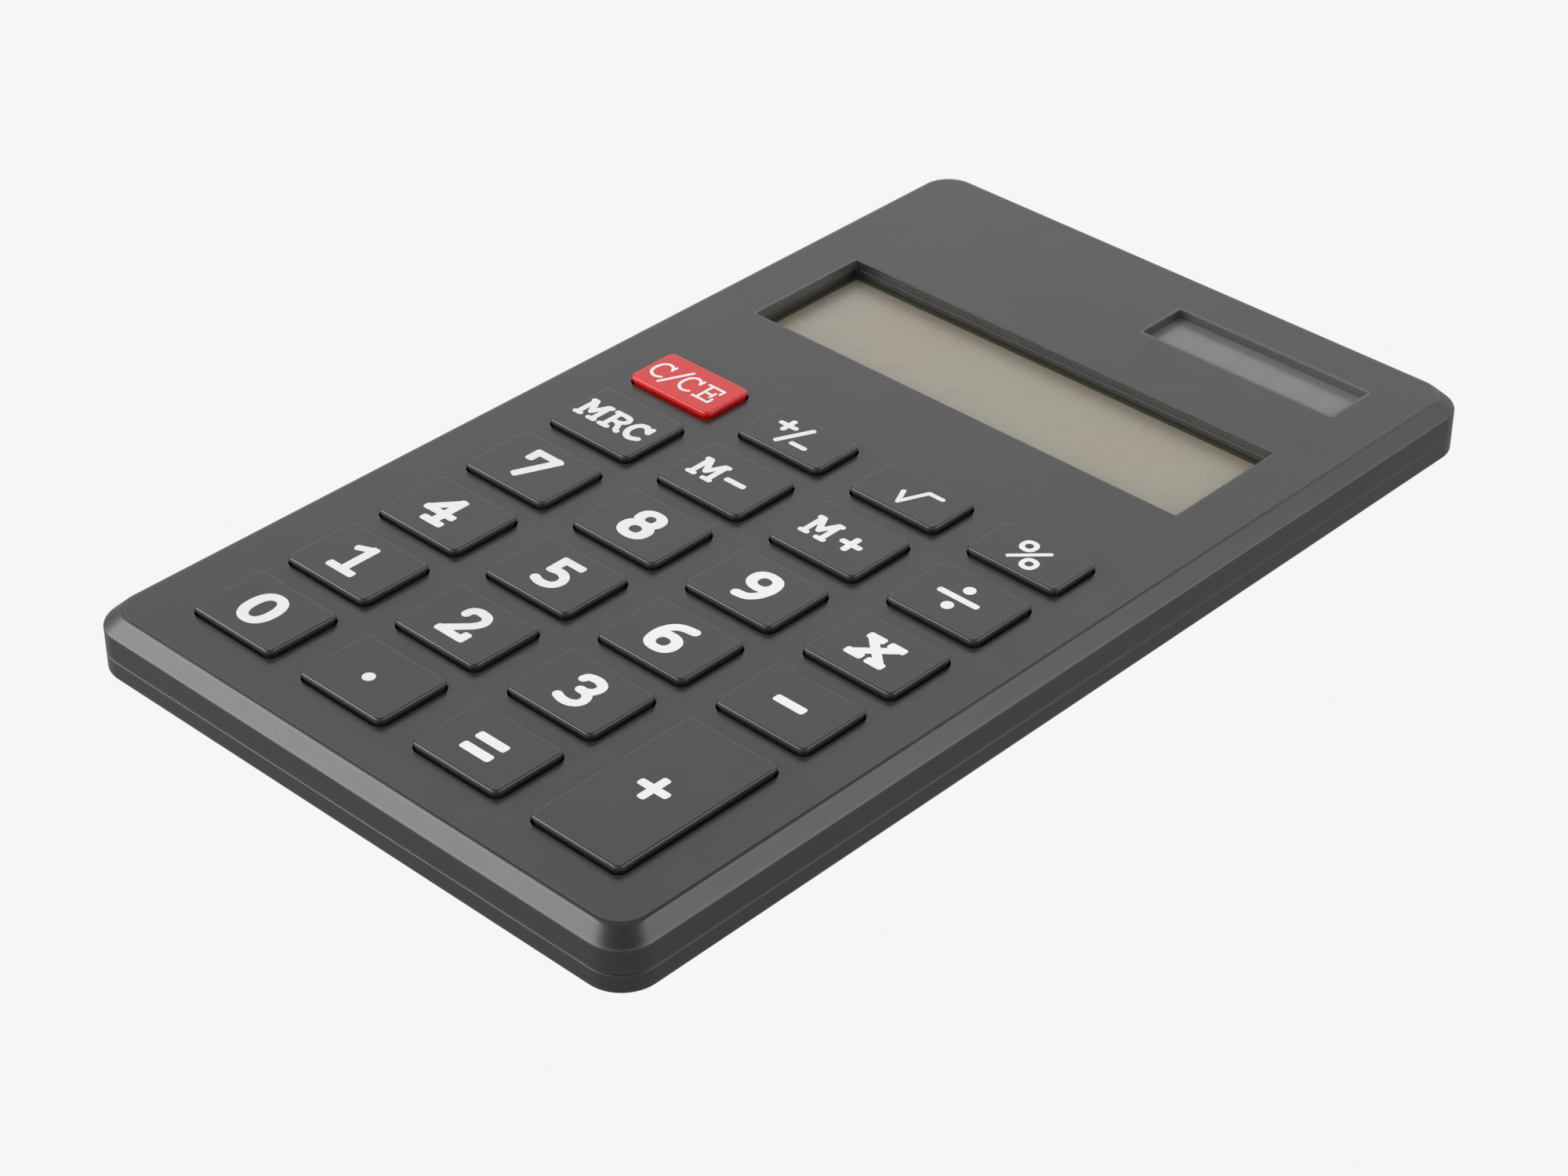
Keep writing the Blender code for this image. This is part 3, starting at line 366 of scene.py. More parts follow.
case = {
    "halfX": 47.0,
    "halfY": 79.75,
    "corner": 5.2,  # outside radius, which shrinks by half of the inset
    "bottom": 0.6,
    "top": 8.8,
    "panelUnder": 7.5,
    "backRim": 3.3,
    "frontRim": 3.36,
    "seamFillet": 0.16,
    "openingFillet": 0.08,
    "floorTop": 1.9,  # inside face of the back shell's base
    "tongueTop": 4.2,  # the back shell's wall reaches up into the front shell
    "screws": [(x, y) for x in (-42.0, 42.0) for y in (-74.5, 18.2, 74.5)],
    "posts": [(x, y) for x in (-19.5, 20.5) for y in (-43.0, -13.0)],  # the board's, under the panel
}

keypad = {
    "columns": (-29.5, -9.5, 10.5, 30.5),
    "rows": (8.1, -5.5, -20.5, -35.5, -50.5, -65.5),
    "rowPitch": 15.0,
    "openingX": 15.0,
    "openingY": 11.5,
    "topRowY": 8.7,
    "tallY": 26.5,
    "corner": 1.2,
    "gap": 0.2,  # between a cap and its opening
    "rise": 1.0,  # above the panel
    "edge": 0.26,  # rounding of a cap's top edge
    "brim": 0.6,  # height of the cap's full-width band, below which it draws in
    "undercut": 0.2,
    "foot": 6.65,  # underside of a cap
    "flangeTop": 7.25,  # of the flange that keeps a cap from falling out
    "flange": 0.8,
    "pinRadius": 1.8,
    "pinFoot": 6.15,
    "names": (("clear", "sign", "square_root", "percent"),
              ("memory_recall", "memory_minus", "memory_plus", "divide"),
              ("7", "8", "9", "multiply"), ("4", "5", "6", "minus"),
              ("1", "2", "3", "plus"), ("0", "point", "equals")),
}

display = {
    "middle": (0.0, 39.1),
    "openingX": 74.1,
    "openingY": 20.6,
    "ledge": 0.13,  # the frame shows this far inside the panel's opening
    "frameFoot": 6.57,
    "frameTop": 7.48,
    "windowTop": 6.55,
    "windowFoot": 6.12,
    "glassTop": 6.08,
    "glassFoot": 4.4,
    "overlap": 3.0,  # the window and the glass reach this far under the panel
    "marginX": 0.65,  # dark border of the liquid crystal, inside the opening
    "marginY": 0.65,
    "field": "#afa29b",
    "fieldWarm": "#b39f99",
    "border": "#55543f",
}

solar = {
    "middle": (21.025, 65.95),
    "openingX": 32.05,
    "openingY": 8.3,
    "cells": 5,
    "overlap": 1.6,  # the cell reaches this far under the panel
    "foot": 6.15,
    "face": 7.46,
    "film": "#737170",
    "line": "#6c6a69",
}


def caseLoop(inset):
    return roundedLoop(case["halfX"] - inset, case["halfY"] - inset,
                       case["corner"] - inset / 2, shape["cornerSteps"])


def keyPlaces():
    places = []
    for row, names in enumerate(keypad["names"]):
        for column, name in enumerate(names):
            length = keypad["topRowY"] if row == 0 else keypad["openingY"]
            y = keypad["rows"][row]
            if name == "plus":
                length, y = keypad["tallY"], y - keypad["rowPitch"] / 2
            places.append((name, (keypad["columns"][column], y), keypad["openingX"], length))
    return places


def buildFrontShell():
    bm = bmesh.new()
    rims = roundedProfile([
        (2.5, case["panelUnder"], 0), (1.5, case["panelUnder"] - 1, 0),
        (1.5, case["frontRim"], case["seamFillet"]), (0, case["frontRim"], case["seamFillet"]),
        (0, case["top"] - 2, 0.45), (2, case["top"], 0.75), (3.4, case["top"], 0)])
    ceiling, deck = loftProfile(bm, rims, caseLoop)
    well = roundedProfile([
        (-0.45, case["top"], 0), (0, case["top"], case["openingFillet"]),
        (0, case["panelUnder"], 0)], 4)
    upper, lower = [], []
    openings = [(middle, width, length, keypad["corner"], 8)
                for _, middle, width, length in keyPlaces()]
    openings += [(item["middle"], item["openingX"], item["openingY"], 0.3, 4)
                 for item in (display, solar)]
    displayLeft = display["middle"][0] - display["openingX"] / 2 + 0.1
    for middle, width, length, corner, steps in openings:
        before = len(bm.faces)
        first, last = loftProfile(bm, well, lambda inset: roundedLoop(
            width / 2 - inset, length / 2 - inset, corner - min(inset, 0), steps, middle))
        bm.faces.ensure_lookup_table()
        for face in bm.faces[before:]:
            leftWall = face.calc_center_median().x < displayLeft
            # these walls take the second material, whose paler colour is painted light
            if middle == solar["middle"] or (middle == display["middle"] and leftWall):
                face.material_index = 1
        upper.append(first)
        lower.append(last)
    fillFlat(bm, deck, upper)
    fillFlat(bm, ceiling, lower)
    for place in case["screws"]:
        addTube(bm, place, 2.4, 1.2, 3.85, case["panelUnder"] - 0.01)
    for place in case["posts"]:
        addTube(bm, place, 1.55, 0.85, 4.6, case["panelUnder"] - 0.01)
    makePiece("frontShell", bm, [casePlastic, paintedLightWallPlastic], "case", ["front_shell"])


# A closed round post with a blind bore from below.
def addTube(bm, middle, radius, bore, low, high):
    profile = [(0.02, high - 1, 0), (bore, high - 1, 0), (bore, low, 0), (radius, low, 0),
               (radius, high, 0), (0.02, high, 0)]
    addSolid(bm, profile, lambda across: circleLoop(across, 20, middle))


under = {
    "foot": (35.0, 66.0),
    "footRadius": 4.5,
    "footHeight": 0.95,
    "footDish": 0.12,
    "coverMiddle": (-12.0, 66.0),
    "coverX": 26.0,
    "coverY": 16.0,
    "coverScrew": (-2.3, 66.0),
    "panelX": 30.0,  # a shallow blank field, half sizes
    "panelY": 24.0,
}


def buildBackShell():
    bm = bmesh.new()
    rims = roundedProfile([
        (0.9, case["bottom"], 0), (0, case["bottom"], 0.35), (0, case["backRim"], case["seamFillet"]),
        (1.75, case["backRim"], 0), (1.75, case["tongueTop"], 0.12), (2.45, case["tongueTop"], 0.12),
        (2.45, case["floorTop"], 0.3), (3.2, case["floorTop"], 0)])
    base, floor = loftProfile(bm, rims, caseLoop)
    baseHoles, floorHoles = [], []
    for middle in case["screws"]:
        seat = roundedProfile([(2.5, 0.6, 0), (2.1, 0.6, 0.12), (2.1, 1.85, 0)], 4)
        baseHoles.append(addHollow(bm, seat, lambda r: circleLoop(r, 32, middle)))
        # a boss beside a wall runs into it, so each one is a closed ring sunk into the floor
        boss = roundedProfile([(1.2, 1.87, 0), (1.2, 3.6, 0), (2.7, 3.6, 0.15), (2.7, 1.87, 0)], 4)
        first, last = loftProfile(bm, boss, lambda r: circleLoop(r, 32, middle))
        joinRings(bm, [last, first])
    for x in (-under["foot"][0], under["foot"][0]):
        for y in (-under["foot"][1], under["foot"][1]):
            seat = roundedProfile([
                (5.15, 0.6, 0), (4.75, 0.6, 0.1), (4.75, 1.2, 0), (0.4, 1.2, 0)], 4)
            baseHoles.append(addHollow(bm, seat, lambda r: circleLoop(r, 48, (x, y))))
    field = roundedProfile([(-0.4, 0.6, 0), (0, 0.6, 0.08), (0, 0.8, 0.05), (0.5, 0.8, 0)], 3)
    baseHoles.append(addHollow(bm, field, lambda inset: roundedLoop(
        under["panelX"] - inset, under["panelY"] - inset, 2.0 - min(inset, 0), 8, (0, -18))))
    box = roundedProfile([
        (-0.45, 0.6, 0), (0, 0.6, 0.15), (0, 2.25, 0), (1.05, 2.25, 0), (1.05, 5.3, 0),
        (-1.75, 5.3, 0.2), (-1.75, case["floorTop"], 0)], 4)
    first, last = loftProfile(bm, box, lambda inset: roundedLoop(
        under["coverX"] / 2 + 0.25 - inset, under["coverY"] / 2 + 0.25 - inset, 1.75, 6,
        under["coverMiddle"]))
    baseHoles.append(first)
    floorHoles.append(last)
    fillFlat(bm, base, baseHoles)
    fillFlat(bm, floor, floorHoles)
    makePiece("backShell", bm, [casePlastic], "case", ["back_shell"])


buildFrontShell()
buildBackShell()
print("case built")


# The legends are drawn below as strokes, rings and bars.
legendLook = {
    "unit": 0.9,  # mm for one unit of the drawings below
    "height": 0.03,  # mm of ink above the cap
    "sunk": 0.02,  # mm that the film reaches into the cap
    "barCorner": 0.42,
    "squareness": 2.25,  # of the bowls of round figures; 2 is an ellipse
    "weight": 0.92,  # of the strokes
    "trim": 0.1,  # off each bar, so that it matches the strokes
}

memoryM = [
    ("line", 1.06, [(-1.62, 1.9), (-1.62, -2.0)]), ("line", 1.06, [(1.62, 1.9), (1.62, -2.0)]),
    ("line", 1.0, [(-2.05, 2.08), (-1.45, 2.08)]), ("line", 1.0, [(1.45, 2.08), (2.05, 2.08)]),
    ("line", 1.1, [(-1.4, 2.0), (0.0, -0.62), (1.4, 2.0)]),
    ("line", 0.96, [(-2.1, -2.1), (-0.98, -2.1)]), ("line", 0.96, [(0.82, -2.1), (2.1, -2.1)]),
]


def shifted(parts, moveX, moveY=0.0, scale=(1.0, 1.0)):
    placed = []
    for kind, size, points in parts:
        moved = [(moveX + x * scale[0], moveY + y * scale[1]) for x, y in points]
        placed.append((kind, size, moved))
    return placed


def thinC(middle):
    return [("curve", 0.56, [(middle + x, y) for x, y in (
        (1.3, 1.12), (0.85, 1.66), (0.02, 1.93), (-0.83, 1.42), (-1.22, 0.05), (-0.9, -1.2),
        (0.02, -1.82), (0.75, -1.78), (1.36, -1.5))]),
        ("line", 0.5, [(middle + 1.4, 1.9), (middle + 1.35, 0.9)])]


# Each legend is a list of ("line" or "curve", stroke, points), ("ring", (outer, inner), middle),
# ("bar", (width, height), middle) and ("dot", radius, middle), about the legend's own middle.
legends = {
    "7": ((0.0, 0.0), [
        ("line", 1.42, [(-2.0, 3.03), (2.0, 3.03)]), ("line", 1.68, [(-2.0, 2.9), (-2.0, 1.42)]),
        ("line", 1.62, [(2.05, 2.92), (-0.58, -2.95)])]),
    "8": ((0.0, 0.0), [
        ("ring", ((2.52, 2.15), (0.8, 0.8)), [(0.0, 1.62)]),
        ("ring", ((2.79, 2.35), (0.95, 0.88)), [(0.0, -1.42)])]),
    "9": ((0.25, 0.0), [
        ("ring", ((2.75, 2.35), (1.02, 0.95)), [(-0.1, 1.46)]),
        ("curve", 1.68, [(1.95, 1.7), (2.03, 0.4), (1.5, -1.35), (0.35, -2.6), (-1.42, -2.93)])]),
    "4": ((-0.75, 0.0), [
        ("line", 1.66, [(0.88, 2.85), (0.88, -2.9)]), ("line", 1.42, [(-2.35, -0.72), (2.4, -0.72)]),
        ("line", 1.55, [(0.8, 2.9), (-2.2, -0.62)]), ("line", 1.44, [(-0.62, -3.0), (2.25, -3.0)])]),
    "5": ((0.3, 0.0), [
        ("line", 1.45, [(-1.6, 3.0), (1.52, 3.0)]), ("line", 1.68, [(-1.5, 2.9), (-1.5, 0.38)]),
        ("curve", 1.62, [(-1.5, 0.3), (-0.5, 0.52), (0.5, 0.45), (1.4, -0.15), (1.78, -1.2),
                         (1.42, -2.25), (0.45, -2.85), (-0.8, -2.93), (-1.85, -2.6)])]),
    "6": ((-0.15, 0.0), [
        ("ring", ((2.77, 2.42), (1.02, 0.93)), [(0.1, -1.34)]),
        ("curve", 1.68, [(-1.92, -1.5), (-2.0, 0.0), (-1.35, 1.7), (-0.1, 2.65), (1.88, 3.0)])]),
    "1": ((-0.2, 0.0), [
        ("line", 1.64, [(0.18, 2.95), (0.18, -2.9)]), ("line", 1.35, [(0.2, 3.05), (-2.0, 2.1)]),
        ("line", 1.52, [(-1.95, -3.02), (1.95, -3.02)])]),
    "2": ((0.0, 0.0), [
        ("curve", 1.62, [(-1.77, 1.55), (-1.6, 2.45), (-0.85, 2.98), (0.15, 3.02), (1.2, 2.7),
                         (1.7, 1.6), (1.2, 0.3), (0.05, -0.95), (-1.95, -2.95)]),
        ("line", 1.5, [(-2.1, -3.02), (2.0, -3.02)]), ("line", 1.6, [(2.05, -2.95), (2.05, -2.1)])]),
    "3": ((0.1, 0.0), [
        ("curve", 1.6, [(-1.77, 2.1), (-1.5, 2.72), (-0.6, 3.02), (0.4, 3.0), (1.38, 2.52),
                        (1.66, 1.65), (1.25, 0.65), (0.4, 0.18), (-0.4, 0.14)]),
        ("curve", 1.6, [(-0.2, 0.14), (0.7, 0.05), (1.5, -0.5), (1.84, -1.45), (1.45, -2.45),
                        (0.35, -3.0), (-0.9, -2.98), (-1.82, -2.66)])]),
    "0": ((-0.45, 0.0), [("ring", ((2.98, 3.76), (1.2, 2.25)), [(0.0, 0.0)])]),
    "point": ((-0.3, -0.5), [("dot", 0.95, [(0.0, 0.0)])]),
    "equals": ((-0.1, -0.4), [
        ("bar", (5.6, 1.64), [(0.0, 1.4)]), ("bar", (5.6, 1.64), [(0.0, -1.4)])]),
    "minus": ((-0.1, 0.0), [("bar", (5.46, 1.58), [(0.0, 0.0)])]),
    "plus": ((-0.2, 0.0), [("bar", (5.4, 1.45), [(0.0, 0.0)]), ("bar", (1.45, 5.4), [(0.0, 0.0)])]),
    "divide": ((-0.3, 0.2), [
        ("bar", (7.4, 1.16), [(0.0, 0.0)]), ("dot", 0.94, [(0.0, 2.38)]),
        ("dot", 0.94, [(0.0, -2.28)])]),
    "multiply": ((-0.1, 0.0), [
        ("bar", (3.2, 1.5), [(-1.83, 2.27)]), ("bar", (3.1, 1.5), [(1.84, 2.27)]),
        ("bar", (3.2, 1.54), [(-1.9, -2.27)]), ("bar", (3.25, 1.54), [(1.8, -2.27)]),
        ("line", 1.5, [(-2.0, 1.75), (2.0, -1.75)]), ("line", 1.5, [(2.0, 1.75), (-2.0, -1.75)])]),
    "memory_minus": ((-0.9, 0.0), shifted(memoryM, -2.35) + [("bar", (4.05, 1.12), [(2.95, -0.04)])]),
    "memory_plus": ((-0.65, 0.0), shifted(memoryM, -2.63) + [
        ("bar", (4.05, 1.12), [(3.12, -0.2)]), ("bar", (1.22, 3.92), [(3.12, -0.2)])]),
    "memory_recall": ((-0.35, 0.0), shifted(memoryM, -4.38, 0, (0.91, 0.93)) + [
        ("line", 1.06, [(-0.65, 1.8), (-0.65, -1.8)]), ("line", 0.98, [(-1.3, 1.93), (0.7, 1.93)]),
        ("curve", 1.04, [(0.6, 1.93), (1.4, 1.72), (1.78, 1.02), (1.4, 0.3), (0.6, -0.05)]),
        ("line", 0.98, [(0.7, -0.05), (-0.4, -0.05)]), ("line", 0.96, [(-1.3, -1.93), (0.2, -1.93)]),
        ("curve", 1.02, [(0.6, -0.05), (1.35, -0.7), (1.75, -1.6), (2.25, -1.92)]),
        ("curve", 1.12, [(5.95, 0.95), (5.3, 1.62), (4.5, 1.86), (3.6, 1.35), (3.2, 0.05),
                         (3.6, -1.25), (4.5, -1.84), (5.25, -1.75), (6.05, -1.35)]),
        ("line", 0.96, [(6.05, 1.88), (6.05, 0.8)])]),
    "sign": ((-0.8, 0.0), [
        ("bar", (3.8, 0.98), [(-2.28, 1.43)]), ("bar", (1.08, 3.42), [(-2.28, 1.43)]),
        ("line", 1.04, [(1.46, 2.62), (-0.98, -2.6)]), ("bar", (3.4, 1.0), [(2.52, -1.74)])]),
    "square_root": ((1.2, -0.3), [
        ("line", 0.86, [(-2.8, 0.26), (-1.67, -2.25), (0.33, 2.27), (2.85, 2.27)])]),
    "percent": ((-0.1, -0.2), [
        ("ring", ((1.42, 1.42), (0.62, 0.62)), [(-1.43, 1.7)]),
        ("ring", ((1.42, 1.42), (0.62, 0.62)), [(1.39, -1.7)]),
        ("line", 0.8, [(2.13, 2.13), (-2.13, -2.04)])]),
    "clear": ((-0.5, -0.25), thinC(-5.05) + thinC(0.79) + [
        ("line", 0.6, [(-0.75, 2.5), (-3.17, -2.6)]), ("line", 0.56, [(4.06, 1.87), (4.06, -1.87)]),
        ("line", 0.5, [(3.25, 1.87), (6.35, 1.87), (6.33, 0.9)]),
        ("line", 0.5, [(3.25, -1.87), (6.4, -1.87), (6.4, -0.85)]),
        ("line", 0.5, [(4.06, 0.0), (5.65, 0.0)]), ("line", 0.5, [(5.7, 0.62), (5.7, -0.62)])]),
}


def smoothPath(points, steps=6):
    path = []
    count = len(points)
    for i in range(count - 1):
        a, b = Vector(points[max(i - 1, 0)]), Vector(points[i])
        c, d = Vector(points[i + 1]), Vector(points[min(i + 2, count - 1)])
        for step in range(steps):
            t = step / steps
            path.append(0.5 * (2 * b + (c - a) * t + (2 * a - 5 * b + 4 * c - d) * t * t
                               + (3 * b - a - 3 * c + d) * t ** 3))
    return path + [Vector(points[-1])]


def superLoop(radii, middle, steps=36):
    power = 2 / legendLook["squareness"]
    loop = []
    for i in range(steps):
        angle = 2 * math.pi * i / steps
        c, s = math.cos(angle), math.sin(angle)
        loop.append((middle[0] + radii[0] * math.copysign(abs(c) ** power, c),
                     middle[1] + radii[1] * math.copysign(abs(s) ** power, s)))
    return loop


# Turns one drawn part into polygons: bands of four-sided faces with round ends, rings or bars.
def partPolygons(kind, size, points):
    if kind == "dot":
        return [circleLoop(size, 28, points[0])]
    if kind == "bar":
        wide, high = (side - legendLook["trim"] for side in size)
        corner = min(legendLook["barCorner"], wide / 2 - 0.01, high / 2 - 0.01)
        return [roundedLoop(wide / 2, high / 2, corner, 5, points[0])]
    if kind == "ring":
        outer, inner = superLoop(size[0], points[0]), superLoop(size[1], points[0])
        count = len(outer)
        return [[outer[i], outer[(i + 1) % count], inner[(i + 1) % count], inner[i]]
                for i in range(count)]
    path = smoothPath(points) if kind == "curve" else [Vector(p) for p in points]
    half = size / 2 * legendLook["weight"]
    if kind == "line" and len(path) == 2:  # a straight stroke ends square, with its corners rounded
        span, along = (path[1] - path[0]).length / 2 + half, (path[1] - path[0]).normalized()
        middle, across = (path[0] + path[1]) / 2, Vector((-along.y, along.x))
        block = roundedLoop(span, half, min(legendLook["barCorner"], half - 0.02), 5)
        return [[tuple(middle + along * x + across * y) for x, y in block]]
    rounded = path if kind == "line" else (path[0], path[-1])
    polygons = [circleLoop(half, 16, tuple(p)) for p in rounded]
    sides = []
    for i, here in enumerate(path):
        along = (path[min(i + 1, len(path) - 1)] - path[max(i - 1, 0)]).normalized()
        across = Vector((-along.y, along.x)) * half
        sides.append((here + across, here - across))
    for i in range(len(path) - 1):
        if kind == "line":
            along = (path[i + 1] - path[i]).normalized()
            across = Vector((-along.y, along.x)) * half
            polygons.append([path[i] + across, path[i] - across, path[i + 1] - across,
                             path[i + 1] + across])
        else:
            polygons.append([sides[i][0], sides[i][1], sides[i + 1][1], sides[i + 1][0]])
    return [[tuple(p) for p in polygon] for polygon in polygons]


def isInside(point, polygon):
    inside = False
    for a, b in zip(polygon, polygon[1:] + polygon[:1]):
        if (a.y > point.y) != (b.y > point.y):
            if point.x < a.x + (point.y - a.y) / (b.y - a.y) * (b.x - a.x):
                inside = not inside
    return inside


# Prints a legend on top of a cap: the drawn parts become one flat film with its own edge.
def addLegend(bm, name, middle, top):
    (moveX, moveY), parts = legends[name]
    points, faces = [], []
    for kind, size, drawn in parts:
        for polygon in partPolygons(kind, size, drawn):
            faces.append(list(range(len(points), len(points) + len(polygon))))
            points += [Vector(p) * legendLook["unit"] for p in polygon]
    drawnParts = [[points[i] for i in face] for face in faces]
    flat, _, triangles, _, _, _ = delaunay_2d_cdt(points, [], faces, 0, 1e-5)
    origin = Vector(middle) + Vector((moveX, moveY))
    height = top + legendLook["height"]
    verts = [bm.verts.new((p.x + origin.x, p.y + origin.y, height)) for p in flat]
    film = []
    for triangle in triangles:
        centre = sum((flat[i] for i in triangle), Vector((0, 0))) / 3
        if any(isInside(centre, part) for part in drawnParts):
            face = bm.faces.new([verts[i] for i in triangle])
            face.material_index = 1
            film.append(face)
    rim = [edge for face in film for edge in face.edges if len(edge.link_faces) == 1]
    foot = {vert: bm.verts.new((vert.co.x, vert.co.y, top - legendLook["sunk"]))
            for vert in verts if vert.link_faces}
    closing = [tuple(foot[vert] for vert in reversed(face.verts)) for face in film]
    closing += [(a, b, foot[b], foot[a]) for a, b in (edge.verts for edge in rim)]
    for corners in closing:
        bm.faces.new(corners).material_index = 1
    for vert in verts:
        if not vert.link_faces:
            bm.verts.remove(vert)


# The round pin under a cap that presses its dome.
def addPlunger(bm, middle):
    radius, low = keypad["pinRadius"], keypad["pinFoot"]
    pin = roundedProfile([(radius, keypad["foot"], 0), (radius, low, 0.15), (0.4, low, 0)], 3)
    return addHollow(bm, pin, lambda across: circleLoop(across, 24, middle))


def buildKey(name, middle, width, length):
    bm = bmesh.new()
    top = case["top"] + keypad["rise"]
    gap, edge, flange, drawn = keypad["gap"], keypad["edge"], keypad["flange"], keypad["undercut"]
    skin = roundedProfile([
        (-flange, keypad["foot"], 0), (-flange, keypad["flangeTop"], 0.1),
        (gap + drawn, keypad["flangeTop"], 0), (gap + drawn, case["top"] - 0.05, 0),
        (gap, top - keypad["brim"], 0.15), (gap, top, edge), (gap + edge + 0.35, top, 0)],
        shape["keySteps"])
    first, last = loftProfile(bm, skin, lambda inset: roundedLoop(
        max(width / 2 - inset, 0.9), max(length / 2 - inset, 0.9),
        min(max(keypad["corner"] - inset, 0.35), 0.9) if inset > 0 else keypad["corner"], 6, middle))
    fillFlat(bm, first, [addPlunger(bm, middle)])
    bm.faces.new(last)
    addLegend(bm, name, middle, top)
    plastic = redKeyPlastic if name == "clear" else keyPlastic
    makePiece(f"keyCap_{name}", bm, [plastic, legendInk], f"key_{name}", [f"key_{name}"])


for keyName, keyMiddle, keyWidth, keyLength in keyPlaces():
    buildKey(keyName, keyMiddle, keyWidth, keyLength)
print("keys built and printed")


# Polariser over the liquid crystal: grey-green with a faint warm drift, and a darker seal round it.
def displayFilm(tree, place):
    apart = addNode(tree, "SeparateXYZ", {}, {"Vector": place})
    sides = []
    for axis, half, centre, margin in (
            ("X", display["openingX"] / 2, display["middle"][0], display["marginX"]),
            ("Y", display["openingY"] / 2, display["middle"][1], display["marginY"])):
        offset = addNode(tree, "Math", {"operation": "SUBTRACT", 1: centre * mm}, {
            0: apart.outputs[axis]})
        reach = addNode(tree, "Math", {"operation": "ABSOLUTE"}, {0: offset})
        sides.append(addNode(tree, "MapRange", {
            "From Min": (half - margin - 0.06) * mm, "From Max": (half - margin + 0.06) * mm},
            {"Value": reach}))
    seal = addNode(tree, "Math", {"operation": "MAXIMUM"}, {
        0: sides[0], 1: sides[1]})
    cloud = addNode(tree, "TexNoise", {"Scale": 1 / (18 * mm), "Detail": 2.0}, {
        "Vector": place})
    field = addNode(tree, "ValToRGB", {}, {"Fac": cloud})
    setRamp(field, [(0.35, linearColour(display["field"])),
                    (0.7, linearColour(display["fieldWarm"]))])
    base = addNode(tree, "Mix", {"data_type": "RGBA", 7: linearColour(display["border"])},
                   {0: seal, 6: field})
    gloss = addNode(tree, "MapRange", {"To Min": 0.3, "To Max": 0.42}, {
        "Value": cloud})
    skin = addNode(tree, "BsdfPrincipled", {"IOR": 1.5}, {
        "Base Color": base.outputs[2], "Roughness": gloss})
    return skin


# Clear acrylic plate with a satin anti-glare face, so nothing mirrors in it sharply: it shows only by
# its gloss, which grows from 4% face on to full at a grazing angle.
def clearAcrylic(tree, place):
    haze = addNode(tree, "TexNoise", {"Scale": 1 / (4 * mm), "Detail": 4.0}, {
        "Vector": place})
    smears = addNode(tree, "MapRange", {"To Min": 0.24, "To Max": 0.3}, {
        "Value": haze})
    gloss = addNode(tree, "BsdfAnisotropic", {}, {"Roughness": smears})
    clear = addNode(tree, "BsdfTransparent", {"Color": linearColour("#f6f8f4")})
    facing = addNode(tree, "LayerWeight", {"Blend": 0.5})
    grazing = addNode(tree, "Math", {"operation": "POWER", 1: 5.0}, {
        0: facing.outputs["Facing"]})
    share = addNode(tree, "Math", {"operation": "MULTIPLY_ADD", 1: 0.96, 2: 0.04}, {
        0: grazing})
    surface = addNode(tree, "MixShader", {}, {
        0: share, 1: clear, 2: gloss})
    return surface


polariserFilm = newMaterial("grey-green polariser film", displayFilm)
windowAcrylic = newMaterial("clear moulded acrylic", clearAcrylic)


def displayLoop(reach, corner=0.3):
    return lambda inset: roundedLoop(
        display["openingX"] / 2 + reach - inset, display["openingY"] / 2 + reach - inset,
        max(corner - max(inset, 0) * 0.2, 0.15), 4, display["middle"])


def buildDisplay():
    bm = bmesh.new()
    ledge, low, high = display["ledge"], display["frameFoot"], display["frameTop"]
    ring = roundedProfile([
        (-display["overlap"], low, 0), (-display["overlap"], high, 0), (ledge, high, 0.1),
        (ledge, low, 0)], 4)
    first, last = loftProfile(bm, ring, displayLoop(0.0))
    joinRings(bm, [last, first])
    makePiece("displayFrame", bm, [framePlastic], "case", ["lcd_frame"])

    low, high = display["windowFoot"], display["windowTop"]
    plate = roundedProfile([(6.0, low, 0), (0, low, 0), (0, high, 0.1), (1.0, high, 0)], 3)
    bm = bmesh.new()
    addSolid(bm, plate, displayLoop(display["overlap"], 0.6))
    makePiece("displayWindow", bm, [windowAcrylic], "case", ["lcd_window"])

    low, high = display["glassFoot"], display["glassTop"]
    plate = roundedProfile([(6.0, low, 0), (0, low, 0.05), (0, high, 0.05), (1.0, high, 0)], 3)
    bm = bmesh.new()
    addSolid(bm, plate, displayLoop(display["overlap"], 0.4))
    makePiece("displayGlass", bm, [polariserFilm], "case", ["lcd_glass"])


# Amorphous silicon under glass: a dark smoky film parted into strips by laser-cut lines.
def solarFilm(tree, place):
    apart = addNode(tree, "SeparateXYZ", {}, {"Vector": place})
    pitch = solar["openingX"] / solar["cells"] * mm
    left = (solar["middle"][0] - solar["openingX"] / 2) * mm
    along = addNode(tree, "Math", {"operation": "SUBTRACT", 1: left}, {
        0: apart.outputs["X"]})
    strip = addNode(tree, "Math", {"operation": "PINGPONG", 1: pitch / 2}, {
        0: along})
    cut = addNode(tree, "MapRange", {
        "From Min": 0.12 * mm, "From Max": 0.3 * mm, "To Min": 1.0, "To Max": 0.0},
        {"Value": strip})
    cloud = addNode(tree, "TexNoise", {"Scale": 1 / (5 * mm), "Detail": 3.0}, {
        "Vector": place})
    film = addNode(tree, "ValToRGB", {}, {"Fac": cloud})
    setRamp(film, [(0.35, scaledColour(solar["film"], 0.93)), (0.65, linearColour(solar["film"]))])
    base = addNode(tree, "Mix", {"data_type": "RGBA", 7: linearColour(solar["line"])},
                   {0: cut, 6: film})
    skin = addNode(tree, "BsdfPrincipled", {"IOR": 1.52, "Roughness": 0.22}, {
        "Base Color": base.outputs[2]})
    return skin


solarSilicon = newMaterial("amorphous silicon under glass", solarFilm)


